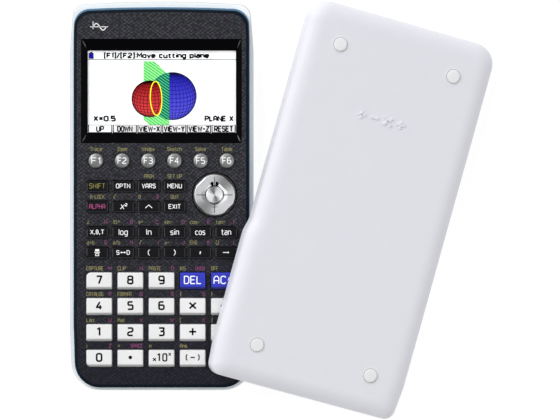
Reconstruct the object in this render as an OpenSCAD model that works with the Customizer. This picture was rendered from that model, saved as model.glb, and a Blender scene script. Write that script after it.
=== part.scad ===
// Graphing calculator with its slide-on hard cover, in millimetres.
// The calculator lies on its back: +X is its right side, +Y its display end, +Z up through the keys.
// The origin is the middle of the rear case's flat face.

/* [Case] */
// Width of the calculator
case_w = 89; // [87:0.5:91]
// Length of the calculator
case_l = 188.4; // [187:0.2:190]
// Height of the rear case
rear_h = 10.5; // [10.2:0.1:10.8]
// Height of the coloured trim ring between the two cases
trim_h = 1.8; // [1.4:0.1:1.8]
// Height of the front case above the trim ring
front_h = 4.3; // [4.1:0.1:4.6]
// Wall thickness of the rear case
wall = 2.2; // [1.8:0.1:2.4]
// Thickness of the front plate that the keys pass through
plate_t = 1.6; // [1.4:0.1:1.8]

/* [Keys] */
// How far the key tops stand above the front plate
key_proud = 2.0; // [1.4:0.1:2.2]
// Travel of every key
key_travel = 0.9; // [0.5:0.1:0.9]
// Gap between a key and the edge of its hole
key_gap = 0.25; // [0.2:0.05:0.35]
// Diameter of the cursor pad
pad_d = 20.2; // [19:0.1:20.6]

/* [Display] */
// Width of the display window
window_w = 77.5; // [76:0.5:78]
// Length of the display window
window_l = 50.2; // [49:0.1:50.4]
// Width of the visible picture
picture_w = 71.6; // [68:0.2:72]
// Length of the visible picture
picture_l = 39.9; // [38:0.1:40.4]

/* [Cover] */
// Width of the slide cover
cover_w = 94.6; // [94:0.2:96]
// Length of the slide cover
cover_l = 187.6; // [186:0.2:189]
// Depth of the slide cover
cover_d = 12; // [11:0.5:13]
// Wall thickness of the slide cover
cover_wall = 1.6; // [1.4:0.1:1.8]
// How far the cover is turned clockwise on the table
cover_turn = 15.5; // [15:0.1:16]

/* [Hidden] */
$fn = 48;
cut = 0.1;                              // overshoot of a cutting shape past the face it opens
corner_steps = 5;                       // straight steps in each rounded corner

trim_z = rear_h;
front_z = rear_h + trim_h;
face_z = front_z + front_h;             // top of the front plate
plate_z = face_z - plate_t;             // underside of the front plate
key_top_z = face_z + key_proud;

floor_t = 1.6;                          // floor of the rear case
edge_draw = 2.6;                        // how far the rear case's lower edges are drawn in
edge_slope = 1.6;                       // their height for each mm drawn in
board_z = 8.8;
board_t = 1.2;
rubber_z = board_z + board_t + 0.05;
rubber_t = 0.7;
dome_h = 0.35;
dome_r = 2;
pad_dome_x = 6.4;
flange_t = 1;
flange_z = plate_z - 0.15 - flange_t;
plunger_z = rubber_z + rubber_t + dome_h + key_travel + 0.2;

// Display stack
window_y = 50.6;
picture_x = 0.2;
picture_y = 50.15;
window_seat_z = front_z + 2.4;
pane_t = 0.8;
lcd_z = front_z + 0.1;
lcd_t = 2;
lcd_w = 79;
lcd_y0 = 25.6;
lcd_y1 = 78.6;

// Battery bay behind the display
cell_r = 5.2;
cell_l = 44.5;
cell_pitch = 10.8;
cell_y = 51.9;
cell_z = floor_t + 0.15 + cell_r;
bay_w = 44.4;
bay_y0 = 27.2;
bay_y1 = 76.6;
rib_t = 1.4;
contact_w = 7.2;
contact_t = 0.4;
contact_z0 = 3.2;
contact_z1 = 10.2;
door_w = 47;
door_y0 = 25;
door_y1 = 78.6;
door_z0 = 0.1;
door_t = 1.4;
notch_r = 6;
notch_z = 0.5;
door_gap = 0.3;
ledge_w = 2.6;                          // width of the ledge that the door closes against
ledge_t = 1;
hook_x = 14;
hook_w = 6;
hook_l = 2;
hook_t = 0.9;
hook_z = floor_t + 0.1;
pocket_gap = 0.5;
pocket_h = 2;

// Board, key sheet and screws
board_w = 74;
board_y0 = -82.4;
board_y1 = 21;
wing_y1 = 88.6;
wing_x = 30.5;
wing_w = 12;
chip_w = 16;
chip_y = -22;
chip_t = 1.6;
screw_places = [[33, -87.2], [38.2, 22.6], [37.2, 83.2]];
rear_post_r = 3.1;
front_post_r = 2.2;
screw_r = 1;
screw_head_r = 2;
screw_head_h = 1.6;
screw_recess = 1;
cross_w = 2.6;
cross_t = 0.5;
cross_h = 0.8;

// Sockets in the display end
jack_x = -30;
jack_z = 6.4;
jack_r = 1.3;
jack_l = 10;
jack_hole_r = 2.9;
jack_body_r = 3.4;
jack_body_l = 12;
usb_x = 30;
usb_z = 6.6;
usb_w = 7.7;
usb_h = 3.9;
usb_l = 9;
usb_wall = 0.5;
socket_y = 90.4;

// Restart button in the back
restart_x = -26;
restart_y = 14;
restart_r = 1.6;
restart_wall = 1.6;
restart_z = 0.8;
restart_seat_z = floor_t + 2.6;
restart_travel = 0.6;

// Grooves in the sides that take the cover's rails
groove_z = 5.6;
groove_y0 = -78;
groove_h = 1.8;
groove_d = 1;

// Cover pose: its left lip leans just above the key tops and its right lip stands on the table
cover_lift = 0.7;
cover_lean = asin((key_top_z + cover_lift) / (cover_w - 1));
cover_x = 91.6;
cover_y = -6.5;
cover_corner_r = 10.5;
cover_low_r = 5.4;
taper = 1.6;                            // how far the cover's sides draw in at its open end
taper_l = 17;                           // over this length
mouth_w = 5.4;                          // what the open end leaves of the cover's width
mouth_l = 4;
mouth_h = 8;
cover_edge_r = 5;
swell = 1.6;                            // how far the thumb swell stands out of the cover's left side
swell_y0 = -25;                         // where the swell has its full height
swell_y1 = -16;                         // where it begins
rail_h = 1.4;
rail_d = 0.8;
rail_l = 140;
rail_z = 0.4;
foot_r = 3.75;
foot_h = 0.8;
foot_x = 29;
foot_y = 75;
foot_shift = -0.4;

// Every key: node name, centre x, centre y, width, length, corner radius.
// A round key has a length of 0 and its width is its diameter.
fkey_w = 7.1;
fkey_pitch = 12.64;
small_w = 10.5;
small_l = 5.5;
large_w = 12.6;
large_l = 8.2;
small_x = [-30.95, -18.45, -6.05, 6.45, 18.8, 31.3];
large_x = [-30, -14.95, 0.1, 15.15, 30.2];
small_rows = [
    [4.6, ["key_shift", "key_option", "key_vars", "key_menu"]],
    [-5.3, ["key_alpha", "key_square", "key_power", "key_exit"]],
    [-17.6, ["key_variable", "key_log", "key_ln", "key_sin", "key_cos", "key_tan"]],
    [-27.5, ["key_fraction", "key_format", "key_left_paren", "key_right_paren", "key_comma", "key_store"]]
];
large_rows = [
    [-41.1, ["key_7", "key_8", "key_9", "key_delete", "key_clear"]],
    [-53.5, ["key_4", "key_5", "key_6", "key_multiply", "key_divide"]],
    [-66.1, ["key_1", "key_2", "key_3", "key_plus", "key_minus"]],
    [-78.5, ["key_0", "key_point", "key_exponent", "key_negate", "key_enter"]]
];
FUNCTION_KEYS = [for (i = [0:5]) [str("key_f", i + 1), (i - 2.5) * fkey_pitch, 16.93, fkey_w, 0, 0]];
SMALL_KEYS = [for (row = small_rows) for (i = [0:len(row[1]) - 1])
    [row[1][i], small_x[i], row[0], small_w, small_l, 0.9]];
LARGE_KEYS = [for (row = large_rows) for (i = [0:len(row[1]) - 1])
    [row[1][i], large_x[i], row[0], large_w, large_l, 0.9]];
KEYS = concat(FUNCTION_KEYS, SMALL_KEYS, LARGE_KEYS);

pad_x = 25.7;
pad_y = 0.4;
pad_gap = 0.35;
pad_skirt = 0.7;

// Outline of a convex shape whose corners are rounded.
// Each corner is [x, y, radius], listed anticlockwise.
function heading(from, to) = (to - from) / norm(to - from);
function rounded(corners) = [
    for (i = [0:len(corners) - 1])
        let (
            n = len(corners),
            here = [corners[i][0], corners[i][1]],
            r = corners[i][2],
            before = corners[(i + n - 1) % n],
            after = corners[(i + 1) % n],
            a = heading(here, [before[0], before[1]]),
            b = heading(here, [after[0], after[1]]),
            half = acos(a * b) / 2,
            middle = here + heading([0, 0], a + b) * r / sin(half),
            first = here + a * r / tan(half) - middle,
            start = atan2(first[1], first[0]),
            sweep = 180 - 2 * half,
            steps = r > 0 ? corner_steps : 0
        )
        for (s = [0:steps])
            let (angle = start + (r > 0 ? s / steps : 0) * sweep)
            r > 0 ? middle + r * [cos(angle), sin(angle)] : here
];

// Outline of the case, drawn in from its sides, its display end and its key end.
// The display end is slightly crowned and the key end has large corners.
function case_corners(side, top, bottom) = let (
    w = case_w / 2 - side,
    y1 = case_l / 2 + 0.9 - top,
    y0 = -case_l / 2 + bottom
) [
    [w - 0.9, y0, 14.2 - side],
    [w, -62, 60],
    [w, 70, 60],
    [w - 1.7, y1 - 2.5, 5.6 - side / 3],
    [0, y1, 480],
    [-w + 1.7, y1 - 2.5, 5.6 - side / 3],
    [-w, 70, 60],
    [-w, -62, 60],
    [-w + 0.9, y0, 14.2 - side]
];

module case_outline(side, top, bottom) {
    polygon(rounded(case_corners(side, top, bottom)));
}

module rounded_rect(w, l, r) {
    polygon(rounded([[w / 2, -l / 2, r], [w / 2, l / 2, r], [-w / 2, l / 2, r], [-w / 2, -l / 2, r]]));
}

// Slab from z0 to z1 between two corners in plan
module slab(x0, x1, y0, y1, z0, z1) {
    translate([x0, y0, z0]) cube([x1 - x0, y1 - y0, z1 - z0]);
}

// A column of radius r from z0 to z1
module post(x, y, r, z0, z1) {
    translate([x, y, z0]) cylinder(r = r, h = z1 - z0);
}

module at_screws() {
    for (side = [-1, 1], place = screw_places) translate([side * place[0], place[1], 0]) children();
}

// Cross-section of the rear case, with its lower edges drawn in
module rear_profile(half, h, draw) {
    rise = draw * edge_slope;
    polygon([[-half, h], [-half, rise], [-half + draw, 0], [half - draw, 0], [half, rise], [half, h]]);
}

module rear_block(inset, z0) {
    draw = edge_draw;
    intersection() {
        translate([0, 0, z0]) linear_extrude(rear_h) case_outline(inset, inset, inset);
        translate([0, case_l, z0]) rotate([90, 0, 0])
            linear_extrude(2 * case_l) rear_profile(case_w / 2 - inset, rear_h, draw);
        translate([-case_w, 0, z0]) rotate([90, 0, 90])
            linear_extrude(2 * case_w) rear_profile(case_l / 2 - inset, rear_h, draw);
    }
}

module rear_case() {
    color("white") difference() {
        union() {
            difference() {
                rear_block(0, 0);
                rear_block(wall, floor_t);
            }
            intersection() {
                rear_block(wall - cut, floor_t - cut);
                union() {
                    // posts for the screws
                    at_screws() post(0, 0, rear_post_r, floor_t - cut, board_z - 0.2);
                    // ledge that the battery door closes against
                    slab(-door_w / 2 - ledge_w, door_w / 2 + ledge_w, door_y0 - ledge_w, door_y1 + ledge_w,
                         floor_t - cut, floor_t + ledge_t);
                    // ribs round the battery bay
                    for (side = [-1, 1])
                        slab(side * (bay_w + rib_t) / 2 - rib_t / 2, side * (bay_w + rib_t) / 2 + rib_t / 2,
                             bay_y0 - rib_t, bay_y1 + rib_t, floor_t - cut, rear_h - 0.2);
                    for (y = [bay_y0 - rib_t, bay_y1])
                        slab(-bay_w / 2 - cut, bay_w / 2 + cut, y, y + rib_t, floor_t - cut, rear_h - 0.2);
                    // ring round the restart button
                    post(restart_x, restart_y, restart_r + restart_wall,
                         floor_t - cut, restart_seat_z - 0.2);
                }
            }
        }
        // opening for the battery door
        slab(-door_w / 2 - door_gap, door_w / 2 + door_gap,
             door_y0 - door_gap, door_y1 + door_gap, -cut, floor_t);
        slab(-bay_w / 2, bay_w / 2, bay_y0, bay_y1, -cut, rear_h);
        // pockets for the door's hooks, which reach over the inside of the floor
        for (side = [-1, 1])
            slab(side * hook_x - hook_w / 2 - pocket_gap, side * hook_x + hook_w / 2 + pocket_gap,
                 bay_y1 - cut, door_y1 + hook_l + 2 * pocket_gap, floor_t, floor_t + pocket_h);
        // screw holes from the back
        at_screws() {
            post(0, 0, screw_r + 0.15, -cut, rear_h);
            post(0, 0, screw_head_r + 0.25, -cut, screw_recess + screw_head_h);
        }
        // hole for the restart button
        post(restart_x, restart_y, restart_r + 0.25, -cut, rear_h);
        // openings for the two sockets
        translate([jack_x, socket_y, jack_z]) rotate([-90, 0, 0]) cylinder(r = jack_hole_r, h = jack_l);
        translate([usb_x, socket_y + 5, usb_z]) rotate([90, 0, 0])
            linear_extrude(10, center = true) rounded_rect(usb_w + 0.8, usb_h + 0.6, 0.8);
        // grooves for the cover's rails
        for (side = [-1, 1])
            slab(side * case_w / 2 - groove_d, side * case_w / 2 + groove_d,
                 groove_y0, case_l, groove_z, groove_z + groove_h);
    }
}

module accent_trim() {
    color("#7390a6") translate([0, 0, trim_z]) linear_extrude(trim_h) difference() {
        case_outline(1.85, 2.7, 1.2);
        case_outline(3.4, 4.2, 3);
    }
}

module front_case() {
    color("#2b2b30") difference() {
        union() {
            // skirt and plate
            difference() {
                translate([0, 0, front_z]) linear_extrude(front_h) case_outline(2.1, 4.3, 1.5);
                translate([0, 0, front_z - cut])
                    linear_extrude(plate_z - front_z + cut) case_outline(3.7, 5.9, 3.1);
            }
            // posts that the screws bite into
            at_screws() post(0, 0, front_post_r, board_z, plate_z + cut);
        }
        at_screws() post(0, 0, screw_r + 0.05, board_z - cut, plate_z - 0.6);
        // display opening
        translate([0, window_y, plate_z - cut]) linear_extrude(plate_t + 2 * cut)
            rounded_rect(window_w + 0.2, window_l + 0.2, 0.8);
        // key holes
        for (key = KEYS) translate([key[1], key[2], plate_z - cut])
            linear_extrude(plate_t + 2 * cut) key_outline(key, key_gap);
        translate([pad_x, pad_y, plate_z - cut]) cylinder(r = pad_d / 2 + pad_gap, h = plate_t + 2 * cut);
    }
}

// Window: a glossy frame whose faces slope down to a clear pane
module display_window() {
    slope_x = (window_w - picture_w) / 2 - 0.3;
    color("#101012") difference() {
        translate([0, window_y, window_seat_z]) linear_extrude(face_z - 0.1 - window_seat_z)
            rounded_rect(window_w, window_l, 0.7);
        hull() {
            translate([picture_x, picture_y, window_seat_z + pane_t])
                cube([picture_w, picture_l, 0.01], center = true);
            translate([0, window_y, face_z])
                cube([picture_w + 2 * slope_x, window_l - 0.6, 0.01], center = true);
        }
    }
}

module display_module() {
    color("#dfe6ee") slab(-lcd_w / 2, lcd_w / 2, lcd_y0, lcd_y1, lcd_z, lcd_z + lcd_t);
}

// Board in a T shape with its soldered sockets and the battery contacts
module main_board() {
    color("#2f6b3c") {
        difference() {
            union() {
                slab(-board_w / 2, board_w / 2, board_y0, board_y1, board_z, board_z + board_t);
                for (side = [-1, 1])
                    slab(side * wing_x - wing_w / 2, side * wing_x + wing_w / 2,
                         board_y1 - cut, wing_y1, board_z, board_z + board_t);
            }
            at_screws() post(0, 0, front_post_r + 0.4, board_z - cut, board_z + board_t + cut);
        }
        // controller chip under the board
        slab(-chip_w / 2, chip_w / 2, chip_y - chip_w / 2, chip_y + chip_w / 2, board_z - chip_t, board_z);
    }
    color("#1d1d1f") difference() {
        slab(jack_x - jack_body_r, jack_x + jack_body_r, socket_y - jack_body_l, socket_y,
             jack_z - jack_r - 1.1, board_z);
        translate([jack_x, socket_y - jack_l + 1, jack_z])
            rotate([-90, 0, 0]) cylinder(r = jack_r, h = jack_l);
    }
    color("silver") difference() {
        slab(usb_x - usb_w / 2, usb_x + usb_w / 2, socket_y - usb_l, socket_y, usb_z - usb_h / 2, board_z);
        slab(usb_x - usb_w / 2 + usb_wall, usb_x + usb_w / 2 - usb_wall,
             socket_y - usb_l + 1, socket_y + cut,
             usb_z - usb_h / 2 + usb_wall, usb_z + usb_h / 2 - usb_wall);
    }
    // spring plates at both ends of the battery bay
    color("silver") for (i = [-1.5:1.5], y = [bay_y0 + 0.1, bay_y1 - contact_t - 0.1])
        slab(i * cell_pitch - contact_w / 2, i * cell_pitch + contact_w / 2,
             y, y + contact_t, contact_z0, contact_z1);
}

// Rubber sheet with a low dome under each key and four under the cursor pad
module rubber_keypad() {
    color("#8d9299") {
        difference() {
            slab(-board_w / 2 + 0.4, board_w / 2 - 0.4, board_y0, board_y1, rubber_z, rubber_z + rubber_t);
            at_screws() post(0, 0, front_post_r + 0.4, rubber_z - cut, rubber_z + rubber_t + cut);
        }
        for (key = KEYS)
            post(key[1], key[2], dome_r, rubber_z + rubber_t - cut, rubber_z + rubber_t + dome_h);
        for (a = [0:90:270])
            post(pad_x + pad_dome_x * cos(a), pad_y + pad_dome_x * sin(a), dome_r - 0.4,
                 rubber_z + rubber_t - cut, rubber_z + rubber_t + dome_h);
    }
}

// Door that hooks under the floor at the display end and is pulled open at the other end
module battery_door() {
    color("white") {
        difference() {
            slab(-door_w / 2, door_w / 2, door_y0, door_y1, door_z0, door_t);
            // finger notch
            translate([0, door_y0 - 1.5, -cut]) cylinder(r = notch_r, h = notch_z + cut);
        }
        for (x = [-hook_x, hook_x]) {
            slab(x - hook_w / 2, x + hook_w / 2, bay_y1 - 2, bay_y1 - 0.8, door_t - cut, hook_z + cut);
            slab(x - hook_w / 2, x + hook_w / 2, bay_y1 - 2, door_y1 + hook_l, hook_z, hook_z + hook_t);
        }
    }
}

module batteries() {
    tip_r = 1.9;
    tip_l = 0.8;
    for (i = [0:3]) {
        flip = i % 2 == 0 ? 1 : -1;
        color(i % 2 == 0 ? "#3c3f45" : "#44474d")
            translate([(i - 1.5) * cell_pitch, cell_y, cell_z])
                rotate([90, 0, 0]) cylinder(r = cell_r, h = cell_l, center = true);
        color("silver")
            translate([(i - 1.5) * cell_pitch, cell_y + flip * (cell_l + tip_l) / 2, cell_z])
                rotate([90, 0, 0]) cylinder(r = tip_r, h = tip_l + 2 * cut, center = true);
    }
}

module case_screws() {
    color("silver") at_screws() difference() {
        union() {
            post(0, 0, screw_head_r, screw_recess, screw_recess + screw_head_h - 0.05);
            post(0, 0, screw_r, screw_recess + cut, plate_z - 1);
        }
        // cross recess
        for (turn = [0, 90]) rotate(turn)
            slab(-cross_w / 2, cross_w / 2, -cross_t / 2, cross_t / 2,
                 screw_recess - cut, screw_recess + cross_h);
    }
}

module restart_button() {
    color("#3a3a3e") {
        post(restart_x, restart_y, restart_r, restart_z, board_z - 1.2 - restart_travel);
        post(restart_x, restart_y, restart_r + 1, restart_seat_z, restart_seat_z + 1);
    }
}

module key_outline(key, grow) {
    if (key[4] == 0) circle(r = key[3] / 2 + grow);
    else rounded_rect(key[3] + 2 * grow, key[4] + 2 * grow, key[5] + grow);
}

function key_colour(key) =
    key[4] == 0 ? "silver"
    : key[4] == small_l ? "#1c1c20"
    : key[0] == "key_delete" || key[0] == "key_clear" ? "#3b46c8"
    : "white";

// A key: its cap, the flange that keeps it under the plate, and its plunger
module key_body(key) {
    edge = 0.5;
    rim = key[4] == large_l ? 0.8 : 0.6;
    color(key_colour(key)) translate([key[1], key[2], 0]) {
        translate([0, 0, flange_z + flange_t - cut])
            linear_extrude(key_top_z - edge - flange_z - flange_t + cut) key_outline(key, 0);
        if (key[4] == 0) {
            // domed top
            dome_r = (pow(key[3] / 2, 2) + pow(edge, 2)) / (2 * edge);
            intersection() {
                translate([0, 0, key_top_z - edge - cut]) cylinder(r = key[3] / 2, h = edge + cut);
                translate([0, 0, key_top_z - dome_r]) sphere(r = dome_r);
            }
        } else {
            translate([0, 0, key_top_z - edge - cut])
                linear_extrude(edge + cut) key_outline(key, -edge / 2);
        }
        translate([0, 0, flange_z]) linear_extrude(flange_t) key_outline(key, rim);
        translate([0, 0, plunger_z]) cylinder(r = 1.8, h = flange_z - plunger_z + cut);
    }
}

// Rocking pad: a raised disc with a dished centre, on a flanged drum
module cursor_pad() {
    r = pad_d / 2;
    color("silver") translate([pad_x, pad_y, 0]) rotate_extrude() polygon([
        [0, plunger_z + 0.2], [2, plunger_z + 0.2], [2, flange_z - 0.3], [r + pad_skirt, flange_z - 0.3],
        [r + pad_skirt, flange_z + flange_t - 0.6], [r, flange_z + flange_t - 0.6], [r, face_z + 0.7],
        [r - 1, face_z + 1.4], [r - 2.6, face_z + 1.7], [6.4, face_z + 1.5], [5.6, face_z + 1.1],
        [4.4, face_z + 1.1], [4, face_z + 1.3], [0, face_z + 1.4]
    ]);
}

// Outline of the cover, drawn in by an inset
module cover_outline(inset) {
    w = cover_w / 2 - inset;
    l = cover_l / 2 - inset;
    low_r = cover_low_r - inset / 2;
    polygon(rounded([
        [w - taper, -l, low_r], [w, -l + taper_l, 40], [w, l, cover_corner_r - inset],
        [-w, l, cover_corner_r - inset], [-w, -l + taper_l, 40], [-w + taper, -l, low_r]
    ]));
}

// Cross-section of the cover's outside, with rounded upper edges
module cover_profile(half, h, r) {
    polygon(rounded([[half, -cut, 0], [half, h, r], [-half, h, r], [-half, -cut, 0]]));
}

module cover_block(inset, z0) {
    h = cover_d - inset;
    intersection() {
        translate([0, 0, z0]) linear_extrude(h - z0) cover_outline(inset);
        translate([0, cover_l, 0]) rotate([90, 0, 0])
            linear_extrude(2 * cover_l) cover_profile(cover_w / 2 - inset, h, cover_edge_r - inset / 2);
        translate([-cover_w, 0, 0]) rotate([90, 0, 90])
            linear_extrude(2 * cover_w) cover_profile(cover_l / 2 - inset, h, cover_edge_r - inset / 2);
    }
}

// The cover's own frame: lip plane at z = 0, +Y towards its closed end
module at_cover() {
    translate([cover_x, cover_y, cover_w / 2 * sin(cover_lean) + 0.05])
        rotate([0, 0, -cover_turn]) rotate([0, cover_lean, 0]) children();
}

module slide_cover() {
    color("#e2e2e6") at_cover() {
        difference() {
            union() {
                cover_block(0, 0);
                // thumb swell along the left side of the open end
                intersection() {
                    translate([-swell, 0, 0]) cover_block(0, 0);
                    linear_extrude(cover_d) polygon([
                        [0, -cover_l], [0, swell_y1], [-cover_w / 2, swell_y1],
                        [-cover_w / 2 - swell, swell_y0], [-cover_w, swell_y0], [-cover_w, -cover_l]
                    ]);
                }
            }
            cover_block(cover_wall, -cut);
            // the key end is open below, so the calculator can enter
            slab(-(cover_w - mouth_w) / 2, (cover_w - mouth_w) / 2,
                 -cover_l, -cover_l / 2 + mouth_l, -cut, mouth_h);
        }
        // rails that run in the calculator's side grooves
        for (side = [-1, 1])
            translate([side * (cover_w / 2 - cover_wall - rail_d / 2 + cut / 2), 0, 0])
                slab(-(rail_d + cut) / 2, (rail_d + cut) / 2, -rail_l / 2, rail_l / 2,
                     rail_z, rail_z + rail_h);
    }
}

module cover_feet() {
    color("#d6d8dc") at_cover() for (x = [-foot_x, foot_x], y = [-foot_y, foot_y])
        translate([x + foot_shift, y, cover_d + 0.01]) cylinder(r = foot_r, h = foot_h);
}

rear_case();
accent_trim();
front_case();
display_window();
display_module();
main_board();
rubber_keypad();
battery_door();
batteries();
case_screws();
restart_button();
cursor_pad();
slide_cover();
cover_feet();
for (key = KEYS) key_body(key);
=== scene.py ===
"""Looks of the graphing calculator and its slide cover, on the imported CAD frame. Lengths are in metres."""
from math import acos, asin, atan2, cos, pi, radians, sin, tan

import bmesh
import bpy
from mathutils import Matrix, Vector


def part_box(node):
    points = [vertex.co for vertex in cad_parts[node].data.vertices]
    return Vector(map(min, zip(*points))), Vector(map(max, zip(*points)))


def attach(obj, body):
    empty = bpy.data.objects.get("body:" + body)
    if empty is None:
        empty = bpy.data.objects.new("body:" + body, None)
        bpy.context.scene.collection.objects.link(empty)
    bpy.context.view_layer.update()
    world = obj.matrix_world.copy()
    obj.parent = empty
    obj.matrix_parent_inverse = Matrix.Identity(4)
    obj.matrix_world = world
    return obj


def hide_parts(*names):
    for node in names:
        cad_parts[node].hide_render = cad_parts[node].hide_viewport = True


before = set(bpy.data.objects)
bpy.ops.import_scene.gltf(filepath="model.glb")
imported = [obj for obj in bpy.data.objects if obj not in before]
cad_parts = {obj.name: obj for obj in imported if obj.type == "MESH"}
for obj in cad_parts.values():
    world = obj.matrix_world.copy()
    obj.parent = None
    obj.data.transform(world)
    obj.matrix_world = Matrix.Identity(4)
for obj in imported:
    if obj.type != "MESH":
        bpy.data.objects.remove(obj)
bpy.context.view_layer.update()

MM = 0.001
BODY = "calculator"

# Levels and sizes that the frame gives
case_low, case_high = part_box("rear_case")
window_low, window_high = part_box("display_window")
trim_low, trim_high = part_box("accent_trim")
door_low, door_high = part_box("battery_door")
pad_low, pad_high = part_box("cursor_pad")
restart_low, restart_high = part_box("restart_button")
FACE_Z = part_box("front_case")[1][2]
KEY_TOP_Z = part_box("key_5")[1][2]
CASE_W = case_high[0] - case_low[0]
CASE_L = case_high[1] - case_low[1]
REAR_H = case_high[2]
PAD_CENTRE = ((pad_low[0] + pad_high[0]) / 2, (pad_low[1] + pad_high[1]) / 2)
RESTART = ((restart_low[0] + restart_high[0]) / 2, (restart_low[1] + restart_high[1]) / 2)

# Sizes repeated from the CAD source
KEY_GAP = 0.25 * MM
PAD_GAP = 0.35 * MM
LARGE_KEY_FLANGE = 0.8 * MM
SMALL_KEY_FLANGE = 0.6 * MM
PAD_FLANGE = 0.7 * MM
PICTURE = (0.2 * MM, 50.15 * MM, 71.6 * MM, 39.9 * MM)     # centre x, centre y, width, height
COVER_W = 94.6 * MM
COVER_L = 187.6 * MM
COVER_D = 12 * MM
COVER_WALL = 1.6 * MM
COVER_TURN = radians(15.5)
COVER_LIFT = 0.7 * MM
COVER_PLACE = (91.6 * MM, -6.5 * MM)
FOOT_SHIFT = -0.4 * MM
SWELL = 1.6 * MM
SWELL_Y = (-25 * MM, -16 * MM)
SCREWS = [(side * x * MM, y * MM) for side in (-1, 1) for x, y in ((33, -87.2), (38.2, 22.6), (37.2, 83.2))]
JACK = (-30 * MM, 6.4 * MM)        # x, z
USB = (30 * MM, 6.6 * MM)          # x, z

# The plot on the display, from the picture's centre
RED_BALL = (-5.8 * MM, -3.3 * MM, 8.7 * MM)             # x, y, radius
BLUE_BALL = (5.2 * MM, -2.0 * MM, 11.6 * MM)
SECTION = (-2.8 * MM, -3.1 * MM, 2.8 * MM, 8.2 * MM)    # x, y, half width, half height
SCREEN_GLOW = 0.35


# ---------------------------------------------------------------- geometry

class Shape:
    """Vertices and faces that become one mesh, with a material number on each face."""

    def __init__(self):
        self.verts, self.faces, self.numbers = [], [], []

    def add(self, verts, faces, number=0):
        base = len(self.verts)
        self.verts += [tuple(v) for v in verts]
        self.faces += [tuple(base + i for i in face) for face in faces]
        self.numbers += [number] * len(faces)

    def loft(self, rings, number=0, band_numbers=None):
        """A closed skin over rings of equal length, with a flat cap on the first and the last."""
        n = len(rings[0])
        verts = [v for ring in rings for v in ring]
        self.add(verts, [])
        base = len(self.verts) - len(verts)
        for k in range(len(rings) - 1):
            for i in range(n):
                j = (i + 1) % n
                face = (base + k * n + i, base + k * n + j, base + (k + 1) * n + j, base + (k + 1) * n + i)
                self.faces.append(face)
                self.numbers.append(band_numbers[k] if band_numbers else number)
        self.faces.append(tuple(base + i for i in reversed(range(n))))
        self.numbers.append(band_numbers[0] if band_numbers else number)
        self.faces.append(tuple(base + (len(rings) - 1) * n + i for i in range(n)))
        self.numbers.append(band_numbers[-1] if band_numbers else number)

    def prism(self, outline, z0, z1, number=0):
        """The outline drawn up from z0 to z1."""
        self.loft([at(outline, z0), at(outline, z1)], number)

    def box(self, low, high, number=0):
        x0, y0, z0 = low
        x1, y1, z1 = high
        self.prism([(x0, y0), (x1, y0), (x1, y1), (x0, y1)], z0, z1, number)

    def ribbon(self, points, width, z0, z1, number=0, closed=False, spread=0.0):
        """A flat stroke of that width along points. Its foot is wider by spread on each side."""
        pts = [Vector(p[:2]) for p in points]
        pts = [p for i, p in enumerate(pts) if i == 0 or (p - pts[i - 1]).length > 1e-7]
        count = len(pts)
        left, right = [], []
        for i, p in enumerate(pts):
            before = pts[i - 1] if closed or i > 0 else p
            after = pts[(i + 1) % count] if closed or i < count - 1 else p
            a = (p - before).normalized() if (p - before).length else (after - p).normalized()
            b = (after - p).normalized() if (after - p).length else a
            normal = Vector((-(a + b).y, (a + b).x))
            normal = normal.normalized() if normal.length > 1e-6 else Vector((-a.y, a.x))
            reach = width / 2 / max(0.45, normal.dot(Vector((-a.y, a.x))))
            left.append((p + normal * (reach + spread), p + normal * reach))
            right.append((p - normal * (reach + spread), p - normal * reach))
        verts = []
        for l, r in zip(left, right):
            verts += [(*l[0], z0), (*r[0], z0), (*r[1], z1), (*l[1], z1)]
        faces = []
        for i in range(count if closed else count - 1):
            a, b = 4 * i, 4 * ((i + 1) % count)
            faces += [(a + k, b + k, b + (k + 1) % 4, a + (k + 1) % 4) for k in range(4)]
        if not closed:
            faces += [(0, 1, 2, 3), (4 * count - 1, 4 * count - 2, 4 * count - 3, 4 * count - 4)]
        self.add(verts, faces, number)

    def disc(self, x, y, r, z0, z1, number=0, steps=28):
        self.prism(circle(x, y, r, steps), z0, z1, number)

    def object(self, name, materials, smooth=40):
        mesh = bpy.data.meshes.new(name)
        mesh.from_pydata(self.verts, [], self.faces)
        for polygon, number in zip(mesh.polygons, self.numbers):
            polygon.material_index = number
        piece = bpy.data.objects.new(name, mesh)
        bpy.context.scene.collection.objects.link(piece)
        for item in materials:
            mesh.materials.append(item)
        tidy_normals(piece, smooth)
        return piece


def tidy_normals(piece, smooth):
    """Outward faces, smooth shading, and sharp edges where faces meet at more than that many degrees."""
    bm = bmesh.new()
    bm.from_mesh(piece.data)
    bmesh.ops.recalc_face_normals(bm, faces=bm.faces)
    for face in bm.faces:
        face.smooth = True
    for edge in bm.edges:
        edge.smooth = len(edge.link_faces) != 2 or edge.calc_face_angle(0) < radians(smooth)
    bm.to_mesh(piece.data)
    bm.free()


def weighted(piece):
    """Normals that follow the large faces, so flat faces stay flat beside their rounded edges."""
    modifier = piece.modifiers.new("weighted normals", "WEIGHTED_NORMAL")
    modifier.keep_sharp = True
    return piece


def carve(piece, cutter_shape, smooth=40):
    """Cuts the cutter's solids out of the piece."""
    cutter = cutter_shape.object("cutter", [])
    modifier = piece.modifiers.new("carve", "BOOLEAN")
    modifier.operation = "DIFFERENCE"
    modifier.solver = "EXACT"
    modifier.object = cutter
    bpy.context.view_layer.update()
    carved = bpy.data.meshes.new_from_object(piece.evaluated_get(bpy.context.evaluated_depsgraph_get()))
    piece.modifiers.remove(modifier)
    old = piece.data
    carved.name = old.name
    piece.data = carved
    bpy.data.meshes.remove(old)
    cutter_mesh = cutter.data
    bpy.data.objects.remove(cutter)
    bpy.data.meshes.remove(cutter_mesh)
    tidy_normals(piece, smooth)
    return piece


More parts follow.
